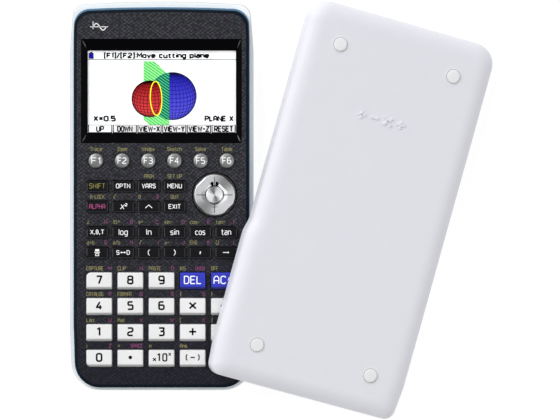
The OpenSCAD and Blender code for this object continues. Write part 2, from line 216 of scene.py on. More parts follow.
def rounded(corners, steps=8):
    """Outline of a convex shape whose corners are rounded, from (x, y, radius) listed anticlockwise."""
    points = []
    for i, (x, y, r) in enumerate(corners):
        here = Vector((x, y))
        a = (Vector(corners[i - 1][:2]) - here).normalized()
        b = (Vector(corners[(i + 1) % len(corners)][:2]) - here).normalized()
        half = acos(max(-1, min(1, a.dot(b)))) / 2
        middle = here + (a + b).normalized() * (r / sin(half))
        first = here + a * (r / tan(half)) - middle
        start = atan2(first.y, first.x)
        for s in range(steps + 1):
            angle = start + (pi - 2 * half) * s / steps
            points.append((middle.x + r * cos(angle), middle.y + r * sin(angle)))
    return points


def rectangle(cx, cy, w, l, radii, steps=6):
    """Rounded rectangle, with the radii of its lower right, upper right, upper left and lower left corner."""
    x0, x1, y0, y1 = cx - w / 2, cx + w / 2, cy - l / 2, cy + l / 2
    return rounded([(x1, y0, radii[0]), (x1, y1, radii[1]), (x0, y1, radii[2]), (x0, y0, radii[3])], steps)


def case_outline(side, top, bottom):
    """Outline of the case, drawn in from its sides, its display end and its key end."""
    w = CASE_W / 2 - side
    y1 = CASE_L / 2 + 0.8 * MM - top
    y0 = -CASE_L / 2 + bottom
    corner, low_corner = 5.6 * MM - side / 3, 14.2 * MM - side
    return rounded([
        (w - 0.9 * MM, y0, low_corner), (w, -62 * MM, 60 * MM), (w, 70 * MM, 60 * MM),
        (w - 1.7 * MM, y1 - 2.5 * MM, corner), (0, y1, 480 * MM), (-w + 1.7 * MM, y1 - 2.5 * MM, corner),
        (-w, 70 * MM, 60 * MM), (-w, -62 * MM, 60 * MM), (-w + 0.9 * MM, y0, low_corner),
    ], 10)


def front_outline(side, top, bottom):
    """Outline of the trim and the face: the case's, with a flatter display end and rounder corners there."""
    w = CASE_W / 2 - side
    y1 = CASE_L / 2 + 0.58 * MM - top
    y0 = -CASE_L / 2 + bottom
    corner, low_corner = 8.5 * MM - side / 3, 14.2 * MM - side
    return rounded([
        (w - 0.9 * MM, y0, low_corner), (w, -62 * MM, 60 * MM), (w, 76 * MM, 60 * MM),
        (w - 0.4 * MM, y1 - 1.6 * MM, corner), (0, y1, 800 * MM), (-w + 0.4 * MM, y1 - 1.6 * MM, corner),
        (-w, 76 * MM, 60 * MM), (-w, -62 * MM, 60 * MM), (-w + 0.9 * MM, y0, low_corner),
    ], 10)


def at(outline, z):
    """The outline as a ring at that height."""
    return [(x, y, z) for x, y in outline]


def steps_of(count):
    """Angles of that many equal steps round a circle."""
    return [2 * pi * i / count for i in range(count)]


def circle(x, y, r, count):
    """An outline round x, y with that many sides."""
    return [(x + r * cos(a), y + r * sin(a)) for a in steps_of(count)]


def round_ring(x, y, r, z, count):
    """The same as a ring at that height."""
    return at(circle(x, y, r, count), z)


# ---------------------------------------------------------------- lettering

# Stroke letters on a grid 4 wide and 6 high: strokes are parted by "|", points by spaces
FONT = {
    "A": "0,0 0,4.4 1.2,6 2.8,6 4,4.4 4,0|0,2.4 4,2.4",
    "B": "0,0 0,6 3,6 3.8,5.3 3.8,3.8 3,3.1 0,3.1|3,3.1 4,2.3 4,0.8 3.1,0 0,0",
    "C": "4,5 3,6 1,6 0,5 0,1 1,0 3,0 4,1",
    "D": "0,0 0,6 2.8,6 4,4.8 4,1.2 2.8,0 0,0",
    "E": "3.8,6 0,6 0,0 3.8,0|0,3.1 3.2,3.1",
    "F": "3.8,6 0,6 0,0|0,3 3.2,3",
    "G": "4,5 3,6 1,6 0,5 0,1 1,0 3,0 4,1 4,2.8 2.3,2.8",
    "H": "0,0 0,6|4,0 4,6|0,3.1 4,3.1",
    "I": "0.4,0 0.4,6",
    "J": "0,1 1,0 2.6,0 3.6,1 3.6,6",
    "K": "0,0 0,6|4,6 0,2.5|1.3,3.6 4,0",
    "L": "0,6 0,0 3.6,0",
    "M": "0,0 0,6 2.3,2.6 4.6,6 4.6,0",
    "N": "0,0 0,6 4,0 4,6",
    "O": "1,0 0,1 0,5 1,6 3,6 4,5 4,1 3,0 1,0",
    "P": "0,0 0,6 3,6 4,5.1 4,3.6 3,2.7 0,2.7",
    "Q": "1,0 0,1 0,5 1,6 3,6 4,5 4,1 3,0 1,0|2.6,1.6 4.2,-0.4",
    "R": "0,0 0,6 3,6 4,5.1 4,3.6 3,2.7 0,2.7|2,2.7 4,0",
    "S": "4,5.1 3,6 1,6 0,5.1 0,3.9 1,3.1 3,3.1 4,2.2 4,0.9 3,0 1,0 0,0.9",
    "T": "0,6 4,6|2,6 2,0",
    "U": "0,6 0,1 1,0 3,0 4,1 4,6",
    "V": "0,6 2,0 4,6",
    "W": "0,6 1.3,0 2.7,5 4.1,0 5.4,6",
    "X": "0,0 4,6|0,6 4,0",
    "Y": "0,6 2,3 4,6|2,3 2,0",
    "Z": "0,6 4,6 0,0 4,0",
    "0": "1,0 0,1 0,5 1,6 3,6 4,5 4,1 3,0 1,0",
    "1": "0,4.8 1.4,6 1.4,0",
    "2": "0,5 1,6 3,6 4,5 4,3.8 0,1 0,0 4,0",
    "3": "0,6 3,6 4,5.2 4,3.9 3,3.1 1.2,3.1|3,3.1 4,2.3 4,0.8 3,0 0,0",
    "4": "3,0 3,6 0,2 4,2",
    "5": "3.8,6 0,6 0,3.4 3,3.4 4,2.5 4,0.9 3,0 0,0",
    "6": "3.6,6 1,6 0,5 0,1 1,0 3,0 4,1 4,2.6 3,3.5 0,3.5",
    "a": "0.3,4.2 3,4.2 3.6,3.6 3.6,0|3.6,2.4 0.8,2.4 0,1.7 0,0.7 0.8,0 3.6,0",
    "b": "0,6 0,0 2.8,0 3.6,0.8 3.6,3.4 2.8,4.2 0,4.2",
    "c": "3.4,4.2 0.8,4.2 0,3.4 0,0.8 0.8,0 3.4,0",
    "d": "3.6,6 3.6,0 0.8,0 0,0.8 0,3.4 0.8,4.2 3.6,4.2",
    "e": "3.4,0 0.8,0 0,0.8 0,3.4 0.8,4.2 2.8,4.2 3.6,3.4 3.6,2.1 0,2.1",
    "g": "3.6,0 0.8,0 0,0.8 0,3.4 0.8,4.2 3.6,4.2 3.6,-0.9 2.8,-1.7 0.4,-1.7",
    "h": "0,0 0,6|0,4.2 2.8,4.2 3.6,3.4 3.6,0",
    "i": "0.4,0 0.4,4.2|0.4,5.5 0.4,6.2",
    "k": "0,0 0,6|3.2,4.2 0,1.8|1.2,2.6 3.4,0",
    "l": "0.4,6 0.4,0",
    "m": "0,0 0,4.2 4.2,4.2 5,3.4 5,0|2.5,4.2 2.5,0",
    "n": "0,0 0,4.2 2.8,4.2 3.6,3.4 3.6,0",
    "o": "0.8,0 0,0.8 0,3.4 0.8,4.2 2.8,4.2 3.6,3.4 3.6,0.8 2.8,0 0.8,0",
    "p": "0,-1.7 0,4.2 2.8,4.2 3.6,3.4 3.6,0.8 2.8,0 0,0",
    "r": "0,0 0,4.2|0,3 1.2,4.2 2.4,4.2",
    "s": "3.4,4.2 0.7,4.2 0,3.6 0,2.7 0.7,2.1 2.7,2.1 3.4,1.5 3.4,0.6 2.7,0 0,0",
    "t": "1.1,5.7 1.1,0.8 1.9,0 2.9,0|0,4.2 2.8,4.2",
    "u": "0,4.2 0,0.8 0.8,0 3.6,0 3.6,4.2",
    "v": "0,4.2 1.8,0 3.6,4.2",
    "w": "0,4.2 1.3,0 2.5,3.6 3.7,0 5,4.2",
    "x": "0,4.2 3.4,0|0,0 3.4,4.2",
    "[": "1.4,6.7 0,6.7 0,-0.7 1.4,-0.7",
    "]": "0,6.7 1.4,6.7 1.4,-0.7 0,-0.7",
    "{": "2,6.7 1.1,6.1 1.1,3.8 0,3 1.1,2.2 1.1,-0.1 2,-0.7",
    "}": "0,6.7 0.9,6.1 0.9,3.8 2,3 0.9,2.2 0.9,-0.1 0,-0.7",
    "(": "1.3,6.7 0,4.8 0,1.2 1.3,-0.7",
    ")": "0,6.7 1.3,4.8 1.3,1.2 0,-0.7",
    "/": "0,-0.5 2.8,6.5",
    ":": "0.4,4.3 0.4,3.5|0.4,1.3 0.4,0.5",
    ".": "0.4,0.7 0.4,0",
    ",": "0.6,0.9 0,-1.1",
    "-": "0,3 3,3",
    "=": "0,4.1 3.6,4.1|0,2 3.6,2",
    "+": "0,3 4,3|2,5 2,1",
    "^": "0,2.6 2,5.2 4,2.6",
    "√": "0,2.6 0.9,2.6 2,0 3.3,6.4 5.6,6.4",
    "π": "0,4.2 4.4,4.2|1.2,4.2 1,0|3.2,4.2 3.5,0",
    "θ": "0.9,0 0,1.6 0,4.4 0.9,6 2.1,6 3,4.4 3,1.6 2.1,0 0.9,0|0,3 3,3",
    "∠": "3.4,5.4 0,0 4,0",
    " ": "",
}
LETTER_GAP = 1.7
SPACE_WIDTH = 2.0


def write(shape, text, x, y, height, stroke, z0, z1, number=0, align="CENTER", width=None, slant=0.0):
    """Writes text in stroke letters with capitals of that height, centred on y and fitted to that width."""
    unit = (height - stroke) / 6
    strokes, pen = [], 0.0
    for char in text:
        lines = [line.split() for line in FONT[char].split("|")]
        lines = [[tuple(map(float, point.split(","))) for point in line] for line in lines]
        reach = max([px for line in lines for px, py in line], default=SPACE_WIDTH)
        strokes += [[(pen + px + slant * py, py) for px, py in line] for line in lines if line]
        pen += reach + LETTER_GAP
    span = (pen - LETTER_GAP) * unit
    stretch = (width - stroke) / span if width else 1
    length = span * stretch
    start = x - {"LEFT": -stroke / 2, "CENTER": length / 2, "RIGHT": length + stroke / 2}[align]
    for line in strokes:
        points = [(start + px * unit * stretch, y + (py - 3) * unit) for px, py in line]
        shape.ribbon(points, stroke, z0, z1, number)


# Squarish glyphs for the large keys: strokes in a unit box, with a closed flag and a corner radius
GLYPHS = {
    "0": [([(0, 0), (1, 0), (1, 1), (0, 1)], True, 0.3)],
    "1": [([(0.12, 0.84), (0.6, 1), (0.6, 0)], False, 0.02)],
    "2": [([(0, 1), (1, 1), (1, 0.53), (0, 0.4), (0, 0), (1, 0)], False, 0.22)],
    "3": [([(0, 1), (1, 1), (0.9, 0.56), (0.3, 0.56)], False, 0.1),
          ([(0.6, 0.56), (1, 0.56), (1, 0), (0, 0)], False, 0.25)],
    "4": [([(0.62, 1), (0, 0.27), (1, 0.27)], False, 0.03), ([(0.72, 0.55), (0.72, 0)], False, 0)],
    "5": [([(0.95, 1), (0.05, 1), (0.05, 0.57), (1, 0.57), (1, 0), (0, 0)], False, 0.2)],
    "6": [([(0.9, 1), (0, 1), (0, 0), (1, 0), (1, 0.57), (0, 0.57)], False, 0.25)],
    "7": [([(0, 1), (1, 1), (0.42, 0)], False, 0.05)],
    "8": [([(0.04, 0.53), (0.96, 0.53), (0.96, 1), (0.04, 1)], True, 0.22),
          ([(0, 0), (1, 0), (1, 0.53), (0, 0.53)], True, 0.25)],
    "9": [([(1, 0.43), (0, 0.43), (0, 1), (1, 1), (1, 0), (0.08, 0)], False, 0.25)],
    "x": [([(0, 0), (1, 1)], False, 0), ([(0, 1), (1, 0)], False, 0)],
    "+": [([(0, 0.5), (1, 0.5)], False, 0), ([(0.5, 0), (0.5, 1)], False, 0)],
    "-": [([(0, 0.5), (1, 0.5)], False, 0)],
    "(": [([(1, 1.1), (0.1, 0.8), (0.1, 0.2), (1, -0.1)], False, 0.5)],
    ")": [([(0, 1.1), (0.9, 0.8), (0.9, 0.2), (0, -0.1)], False, 0.5)],
    "^": [([(0, 0.1), (0.5, 0.9), (1, 0.1)], False, 0)],
}


def soften(points, radius, closed):
    """The stroke's points with each inner corner rounded by a short curve."""
    if not radius:
        return points
    pts = [Vector(p) for p in points]
    count = len(pts)
    result = []
    for i, p in enumerate(pts):
        if not closed and i in (0, count - 1):
            result.append(p)
            continue
        before, after = pts[i - 1], pts[(i + 1) % count]
        a = p + (before - p).normalized() * min(radius, (before - p).length * 0.49)
        b = p + (after - p).normalized() * min(radius, (after - p).length * 0.49)
        for s in range(6):
            t = s / 5
            result.append(a * (1 - t) ** 2 + p * (2 * t * (1 - t)) + b * t ** 2)
    return result


def glyph(shape, char, x, y, w, h, stroke, z0, z1, number=0, spread=0.0):
    """Draws one stroke glyph in a box of that width and height centred on x, y."""
    inner_w, inner_h = w - stroke, h - stroke
    for points, closed, radius in GLYPHS[char]:
        scaled = [(px * inner_w, py * inner_h) for px, py in points]
        line = soften(scaled, radius * min(inner_w, inner_h) * 1.4, closed)
        placed = [(x - inner_w / 2 + p[0], y - inner_h / 2 + p[1]) for p in line]
        shape.ribbon(placed, stroke, z0, z1, number, closed, spread)


# ---------------------------------------------------------------- materials

class Tree:
    """A node tree, with the few steps that the finishes and the world are made of."""

    def __init__(self, owner):
        owner.use_nodes = True
        self.nodes, self.links = owner.node_tree.nodes, owner.node_tree.links

    def set(self, socket, value):
        """Gives a socket a number, a colour or another node's output."""
        if isinstance(value, (int, float)):
            socket.default_value = value
        elif isinstance(value, tuple):
            socket.default_value = (*value, 1)
        elif value is not None:
            self.links.new(value, socket)

    def node(self, kind, inputs, **settings):
        """A new node with those settings and inputs."""
        node = self.nodes.new("ShaderNode" + kind)
        for name, value in settings.items():
            setattr(node, name, value)
        for name, value in inputs.items():
            self.set(node.inputs[name], value)
        return node

    def axes(self, coordinates="Object"):
        """X, Y and Z of the piece's own coordinates, or of the other kind named, as sockets by name."""
        place = self.node("TexCoord", {}).outputs[coordinates]
        return self.node("SeparateXYZ", {"Vector": place}).outputs

    def noise(self, size, detail=2.0, stretch=None):
        """Noise whose grains are about that size, in the piece's own coordinates."""
        place = self.node("TexCoord", {}).outputs["Object"]
        if stretch:
            mapping = self.node("Mapping", {"Vector": place})
            mapping.inputs["Scale"].default_value = stretch
            place = mapping.outputs["Vector"]
        return self.node("TexNoise", {"Vector": place, "Scale": 1 / size, "Detail": detail}).outputs["Fac"]

    def between(self, value, low, high, start=0.3, end=0.7):
        """Maps value from start..end to low..high."""
        return self.node("MapRange", {"Value": value, "From Min": start, "From Max": end,
                                      "To Min": low, "To Max": high}).outputs["Result"]

    def maths(self, operation, first, second=None):
        """One Math node. Each input is a socket or a number."""
        node = self.node("Math", {}, operation=operation)
        for socket, value in zip(node.inputs, (first, second)):
            self.set(socket, value)
        return node.outputs[0]

    def wave(self, axis, pitch):
        """Sine of a coordinate, one turn for each pitch."""
        return self.maths("SINE", self.maths("MULTIPLY", axis, 2 * pi / pitch))

    def blended(self, factor, first, second, blend="MIX"):
        """Two colours mixed by a factor."""
        node = self.node("Mix", {}, data_type="RGBA", blend_type=blend)
        for name, value in (("Factor", factor), ("A", first), ("B", second)):
            self.set(node.inputs[name], value)
        return node.outputs["Result"]


class Finish(Tree):
    """A procedural material, built up on its shader."""

    def __init__(self, name):
        self.material = bpy.data.materials.new(name)
        super().__init__(self.material)
        self.bsdf = self.nodes["Principled BSDF"]

    def shade(self, inputs):
        """Sets inputs of the shader."""
        for name, value in inputs.items():
            self.set(self.bsdf.inputs[name], value)

    def bump(self, height, depth, strength=1.0):
        """Surface relief of that depth from a height value."""
        relief = self.node("Bump", {"Height": height, "Distance": depth, "Strength": strength})
        self.shade({"Normal": relief.outputs["Normal"]})


def srgb(r, g, b):
    """Linear colour from 0 to 255 sRGB values."""
    return tuple((c / 255 / 12.92) if c <= 10 else ((c / 255 + 0.055) / 1.055) ** 2.4 for c in (r, g, b))


def plastic(name, colour, roughness=0.4, vary=0.06, grain=0.35 * MM, depth=0.012 * MM, coat=0.0, metallic=0.0,
            glow=0.0, specular=0.5):
    """Moulded plastic: a slight mottle in its colour and gloss, and a fine moulded grain. A glow, where
    given, is painted light in its own colour.
    """
    finish = Finish(name)
    dark = tuple(c * (1 - vary) for c in colour)
    light = tuple(min(1, c * (1 + vary)) for c in colour)
    fine = finish.noise(grain, 2)
    finish.shade({"Base Color": finish.blended(finish.between(finish.noise(9 * MM, 3), 0, 1), dark, light),
                  "Roughness": finish.between(fine, roughness * 0.9, roughness * 1.12),
                  "Metallic": metallic, "Coat Weight": coat, "Specular IOR Level": specular})
    if glow:
        finish.shade({"Emission Color": colour, "Emission Strength": glow})
    finish.bump(fine, depth)
    return finish.material


def shell_painted_shade():
    """White shell greyed as painted shade on the shell's sides and outermost edge. The painted shade fades
    out towards the key end, which is painted as lit.
    """
    finish = Finish("white shell painted shade")
    fine = finish.noise(0.4 * MM, 2)
    height = finish.maths("ADD", finish.axes()["Y"], finish.maths("MULTIPLY", fine, MM))
    paler = finish.between(height, 1, 0, -CASE_L / 2 + 2 * MM, -CASE_L / 2 + 16 * MM)
    finish.shade({"Base Color": finish.blended(paler, (0.66, 0.685, 0.69), (0.97, 0.98, 0.98)),
                  "Roughness": 0.6, "Specular IOR Level": 0.1})
    finish.bump(fine, 0.006 * MM)
    return finish.material


def woven_front():
    """Black plastic with a fine moulded weave, darker and a little bluer towards the key end."""
    finish = Finish("woven black plastic")
    place = finish.axes()
    crossed = finish.maths("MULTIPLY", finish.wave(place["X"], 2.3 * MM), finish.wave(place["Y"], 1.8 * MM))
    weave = finish.between(crossed, 0.1, 1, -0.25, 0.3)
    speck = finish.between(finish.noise(1.3 * MM, 2), 0.0, 1.0, 0.4, 0.6)
    height = finish.maths("MULTIPLY", weave, speck)
    patch = finish.between(finish.noise(2.2 * MM, 1), 0, 1)
    hollows = finish.blended(patch, srgb(32, 29, 36), srgb(28, 32, 34))
    crests = finish.blended(patch, srgb(74, 67, 81), srgb(67, 73, 74))
    towards_end = finish.between(place["Y"], 0, 1, -0.9 * CASE_L / 2, 0)
    shade = finish.blended(towards_end, (0.28, 0.28, 0.46), (0.9, 0.9, 0.92))
    colour = finish.blended(1, finish.blended(height, hollows, crests), shade, "MULTIPLY")
    finish.shade({"Base Color": colour, "Roughness": 0.5, "Specular IOR Level": 0.22})
    finish.bump(height, 0.05 * MM, 0.6)
    return finish.material


def pad_painted_sheen(name, centre, dark_angle, light, dark, lobe=0.1, lobes=2.0, metallic=0.6):
    """Metal with fine turning marks, and light and dark sectors round the pad's centre that are painted
    highlights and painted shade, in place of the reflections of turned metal.
    """
    finish = Finish(name)
    place = finish.axes()
    dx, dy = (finish.maths("SUBTRACT", place[axis], middle) for axis, middle in zip("XY", centre))
    angle = finish.maths("ARCTAN2", dy, dx)
    wobble = finish.maths("MULTIPLY", finish.maths("SUBTRACT", finish.noise(0.7 * MM, 3), 0.5), 0.7)
    turned = finish.maths("ADD", finish.maths("SUBTRACT", angle, dark_angle), wobble)
    sectors = finish.maths("COSINE", finish.maths("MULTIPLY", turned, lobes))
    fine = finish.noise(0.25 * MM, 2)
    finish.shade({"Base Color": finish.blended(finish.between(sectors, 0, 1, lobe, 1.0), light, dark),
                  "Metallic": metallic, "Roughness": finish.between(fine, 0.3, 0.42)})
    finish.bump(fine, 0.008 * MM)
    return finish.material


def spun_silver(name, light, dark, roughness=0.32):
    """Metallic coating with fine turning marks."""
    finish = Finish(name)
    streaks = finish.between(finish.noise(1.6 * MM, 4, (1, 7, 1)), 0, 1)
    fine = finish.noise(0.3 * MM, 2)
    finish.shade({"Base Color": finish.blended(streaks, dark, light), "Metallic": 0.85,
                  "Roughness": finish.between(fine, roughness * 0.85, roughness * 1.2)})
    finish.bump(fine, 0.008 * MM)
    return finish.material


def board_and_sockets():
    """Green solder mask with darker tracks. The sockets beyond the board's far edge are dark plastic."""
    finish = Finish("board and sockets")
    tracks = finish.between(finish.noise(1.5 * MM, 2, (1, 4, 1)), 0, 1, 0.45, 0.55)
    mask = finish.blended(tracks, (0.03, 0.2, 0.07), (0.015, 0.11, 0.04))
    beyond = finish.between(finish.axes()["Y"], 0, 1, 79 * MM, 79.1 * MM)
    finish.shade({"Base Color": finish.blended(beyond, mask, (0.012, 0.012, 0.014)), "Roughness": 0.35})
    finish.bump(tracks, 0.01 * MM)
    return finish.material


def clear_pane():
    """Thin clear window with a faint smear in its gloss."""
    finish = Finish("clear pane")
    smear = finish.between(finish.noise(14 * MM, 2), 0.0, 0.03)
    finish.shade({"Base Color": (1, 1, 1), "Transmission Weight": 1, "IOR": 1.08, "Roughness": smear})
    return finish.material


def lit(name, colour_of, glow):
    """A part of the display's picture: it glows in its own colour."""
    finish = Finish(name)
    colour = colour_of(finish)
    finish.shade({"Base Color": colour, "Emission Color": colour, "Emission Strength": glow,
                  "Roughness": 0.5, "Specular IOR Level": 0.1})
    return finish.material


def ball_material(name, top, bottom, centre_y, reach):
    """Plotted ball on the display: one colour above fading to a paler one below."""
    def fading(finish):
        fade = finish.between(finish.axes()["Y"], 1, 0, centre_y - reach, centre_y + reach)
        return finish.blended(fade, top, bottom)
    return lit(name, fading, SCREEN_GLOW)


def screen_ink(name, colour, vary=0.05, glow=SCREEN_GLOW):
    """A colour shown on the display, with the faint unevenness of its backlight."""
    def uneven(finish):
        dark = tuple(c * (1 - vary) for c in colour)
        return finish.blended(finish.between(finish.noise(6 * MM, 2), 0, 1), dark, colour)
    return lit(name, uneven, glow)


WHITE_SHELL = plastic("white shell plastic", (0.95, 0.98, 0.985), 0.4, 0.015, 0.4 * MM, 0.006 * MM, 0.1,
                      specular=0.3)
# grey painted shade for the shell's sides, its outermost edge and the battery door
SHELL_PAINTED_SHADE = shell_painted_shade()
FACE_EDGE = plastic("dark face edge", srgb(13, 24, 34), 0.6, 0.1, 0.4 * MM, 0.006 * MM, specular=0.06)
BLUE_TRIM = plastic("blue trim plastic", srgb(84, 128, 162), 0.32, 0.06, 0.3 * MM, 0.006 * MM, 0.1)
WOVEN = woven_front()
GLOSS_BLACK = plastic("glossy black plastic", (0.0015, 0.0015, 0.002), 0.2, 0.1, 0.5 * MM, 0.003 * MM,
                      specular=0.04)
# painted highlights for the window frame's mitres: lighter greys in place of reflections
MITRE_PAINTED_HIGHLIGHT = plastic("mitre painted highlight", (0.07, 0.07, 0.073), 0.3, 0.1, 0.5 * MM, 0.003 * MM, 0.3)
MITRE_PAINTED_HALF_HIGHLIGHT = plastic("mitre painted half highlight", (0.022, 0.022, 0.023), 0.3, 0.1, 0.5 * MM, 0.003 * MM, 0.3)
BLACK_KEY = plastic("black key plastic", (0.006, 0.006, 0.007), 0.4, 0.12, 0.25 * MM, 0.008 * MM,
                    specular=0.12)
# painted highlight on the black keys' sloping edges
BLACK_KEY_EDGE_HIGHLIGHT = plastic("black key side", (0.06, 0.058, 0.066), 0.4, 0.12, 0.25 * MM, 0.008 * MM, specular=0.3)
WHITE_KEY = plastic("white key plastic", (0.85, 0.845, 0.84), 0.35, 0.02, 0.3 * MM, 0.006 * MM, 0.15)
# painted shade on the white keys' sloping edges
WHITE_KEY_EDGE_SHADE = plastic("white key side", (0.52, 0.515, 0.51), 0.4, 0.03, 0.3 * MM, 0.006 * MM, 0.1)
BLUE_KEY = plastic("blue key plastic", srgb(40, 52, 188), 0.35, 0.05, 0.3 * MM, 0.006 * MM, 0.1)
# painted shade on the blue keys' sloping edges
BLUE_KEY_EDGE_SHADE = plastic("blue key side", srgb(24, 30, 120), 0.4, 0.05, 0.3 * MM, 0.006 * MM, 0.1)
SILVER = spun_silver("silver coating", (0.36, 0.36, 0.36), (0.2, 0.2, 0.2), 0.4)
# the pad's finishes paint highlights and shade in sectors round its centre
PAD_PLATE = pad_painted_sheen("pad plate", PAD_CENTRE, radians(52), (0.74, 0.74, 0.75), (0.3, 0.3, 0.3), 0.15)
PAD_FACET = pad_painted_sheen("pad facets", PAD_CENTRE, radians(225), (1.0, 1.0, 1.0), (0.25, 0.25, 0.25), -0.6, 1.0,
                     0.15)
PAD_CENTRE_DISC = pad_painted_sheen("pad centre", PAD_CENTRE, radians(110), (0.95, 0.95, 0.96), (0.2, 0.2, 0.2), -0.25)
SILVER_DARK = spun_silver("darker silver coating", (0.12, 0.12, 0.12), (0.06, 0.06, 0.06), 0.4)
COVER_PLASTIC = plastic("cover plastic", (0.775, 0.77, 0.82), 0.5, 0.008, 0.45 * MM, 0.015 * MM, 0.05)
FOOT_RUBBER = plastic("foot rubber", (0.85, 0.85, 0.855), 0.6, 0.03, 0.3 * MM, 0.012 * MM)
# painted shade for the groove round each foot
FOOT_GROOVE_SHADE = plastic("foot groove painted shade", (0.58, 0.585, 0.59), 0.6, 0.03, 0.3 * MM, 0.012 * MM)
GREY_RUBBER = plastic("grey silicone", (0.36, 0.38, 0.41), 0.65, 0.06, 0.3 * MM, 0.015 * MM)
BOARD = board_and_sockets()
CELL_SLEEVE = plastic("cell sleeve", (0.05, 0.055, 0.065), 0.3, 0.15, 0.5 * MM, 0.006 * MM, 0.3)
SCREW_STEEL = plastic("plated steel", (0.55, 0.55, 0.56), 0.3, 0.08, 0.2 * MM, 0.01 * MM, 0, 1.0)
DARK_PLASTIC = plastic("dark grey plastic", (0.02, 0.02, 0.022), 0.5, 0.1, 0.3 * MM, 0.012 * MM)
# white legend ink with a faint glow as painted light
LEGEND_WHITE_GLOW = plastic("white legend ink, painted glow", (0.9, 0.9, 0.9), 0.5, 0.03, 0.2 * MM, 0.004 * MM, 0, 0, 0.2)
LEGEND_DARK = plastic("dark legend ink", srgb(8, 8, 12), 0.5, 0.06, 0.2 * MM, 0.004 * MM, specular=0.05)
LEGEND_OLIVE = plastic("olive legend ink", srgb(150, 142, 70), 0.5, 0.08, 0.2 * MM, 0.004 * MM)
LEGEND_PINK = plastic("pink legend ink", srgb(190, 80, 140), 0.5, 0.08, 0.2 * MM, 0.004 * MM)
LABEL_OLIVE = plastic("olive label ink", srgb(150, 144, 92), 0.5, 0.08, 0.2 * MM, 0.004 * MM)
LABEL_PINK = plastic("pink label ink", srgb(146, 66, 120), 0.5, 0.08, 0.2 * MM, 0.004 * MM)
LABEL_WHITE = plastic("white label ink", (0.85, 0.85, 0.86), 0.5, 0.04, 0.2 * MM, 0.004 * MM)


# ---------------------------------------------------------------- case

def ride(piece, body, slot, *nodes):
    """The piece rides on the body and stands for those CAD nodes, which it hides. The slot is not used."""
    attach(piece, body)
    if nodes:
        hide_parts(*nodes)
    return piece


def rear_case():
    """White rear shell: soft lower edges, a rounded rim, side grooves, and openings in its back and end."""
    wall, floor = 2.2 * MM, 1.6 * MM
    outer = [(3.6, 0), (3.0, 0.06), (2.5, 0.3), (1.9, 1.1), (1.0, 2.7), (0.45, 3.7), (0.12, 4.6), (0, 5.4),
             (0, 9.5), (0.06, 9.95), (0.22, 10.28), (0.5, 10.48), (0.9, REAR_H / MM)]
    inner = [(wall / MM, REAR_H / MM - 1.1), (wall / MM, 2.6), (wall / MM + 0.3, 1.9),
             (wall / MM + 1, floor / MM)]
    # the rim is wider at the display end, where it reaches under the trim
    lip = [at(case_outline(wall, wall + 2.2 * MM, wall), z) for z in (REAR_H, REAR_H - MM)]
    rings = [at(case_outline(i * MM, i * MM, i * MM), z * MM) for i, z in outer]
    rings += lip + [at(case_outline(i * MM, i * MM, i * MM), z * MM) for i, z in inner]
    shape = Shape()
    # the sides and outer rounding take the grey painted shade; the top flat and the inside stay white
    bands = [0 if k <= len(outer) - 3 else 1 for k in range(len(rings) - 1)]
    shape.loft(rings, band_numbers=bands)
    piece = shape.object("rear_shell", [SHELL_PAINTED_SHADE, WHITE_SHELL])

    cutter = Shape()
    gap = 0.3 * MM
    x0, x1, y0, y1 = door_low[0] - gap, door_high[0] + gap, door_low[1] - gap, door_high[1] - 2 * MM + gap
    cutter.box((x0, y0, -MM), (x1, y1, 3 * MM))
    for x, y in SCREWS:
        cutter.disc(x, y, 2.25 * MM, -MM, 4 * MM)
    cutter.disc(*RESTART, 1.85 * MM, -MM, 4 * MM)
    for side in (-1, 1):
        x = side * (CASE_W / 2 + 2 * MM)
        cutter.box((x - 3 * MM, -78 * MM, 5.6 * MM), (x + 3 * MM, CASE_L, 7.4 * MM))
    carve(piece, cutter)
    ends = Shape()
    jack = [(JACK[0] + 2.9 * MM * cos(a), JACK[1] + 2.9 * MM * sin(a)) for a in steps_of(24)]
    port = rectangle(USB[0], USB[1], 8.5 * MM, 4.5 * MM, (0.8 * MM,) * 4)
    for opening in (jack, port):
        ends.loft([[(x, y, z) for x, z in opening] for y in (87 * MM, 97 * MM)])
    carve(piece, ends)

    ribs = Shape()
    for low, high in (((x0 - MM, y0 - MM), (x0, y1 + MM)), ((x1, y0 - MM), (x1 + MM, y1 + MM)),
                      ((x0, y0 - MM), (x1, y0)), ((x0, y1), (x1, y1 + MM))):
        ribs.box((*low, floor), (*high, REAR_H - MM))
    for x, y in SCREWS:
        ribs.loft([round_ring(x, y, r * MM, z * MM, 24) for r, z in (
            (3.1, floor / MM), (3.1, 8.6), (1.15, 8.6), (1.15, 2.6), (2.25, 2.6), (2.25, floor / MM))])
    inside = ribs.object("rear_ribs", [WHITE_SHELL])
    ride(weighted(piece), BODY, "white_shell", "rear_case")
    ride(inside, BODY, "white_shell", "rear_case")


def accent_trim():
    """Blue-grey ring between the two cases."""
    z0, z1 = trim_low[2] + 0.02 * MM, trim_high[2]
    profile = [(1.95, z0), (1.85, z0 + 0.3 * MM), (1.85, z1 - 0.5 * MM), (2.0, z1 - 0.15 * MM), (2.3, z1),
               (3.4, z1), (3.4, z0)]
    shape = Shape()
    rings = [at(front_outline(i * MM, (i + 1.1) * MM, (i - 0.3) * MM), z) for i, z in profile]
    shape.loft(rings + rings[:1])
    piece = shape.object("trim_ring", [BLUE_TRIM])
    drop_caps(piece, len(rings[0]))
    ride(weighted(piece), BODY, "blue_trim", "accent_trim")


def drop_caps(piece, sides):
    """Turns a loft whose last ring meets its first into a closed ring: its caps go and it is welded."""
    bm = bmesh.new()
    bm.from_mesh(piece.data)
    bmesh.ops.delete(bm, geom=[f for f in bm.faces if len(f.verts) == sides], context="FACES_ONLY")
    bmesh.ops.remove_doubles(bm, verts=bm.verts, dist=1e-7)
    bm.to_mesh(piece.data)
    bm.free()
    tidy_normals(piece, 40)


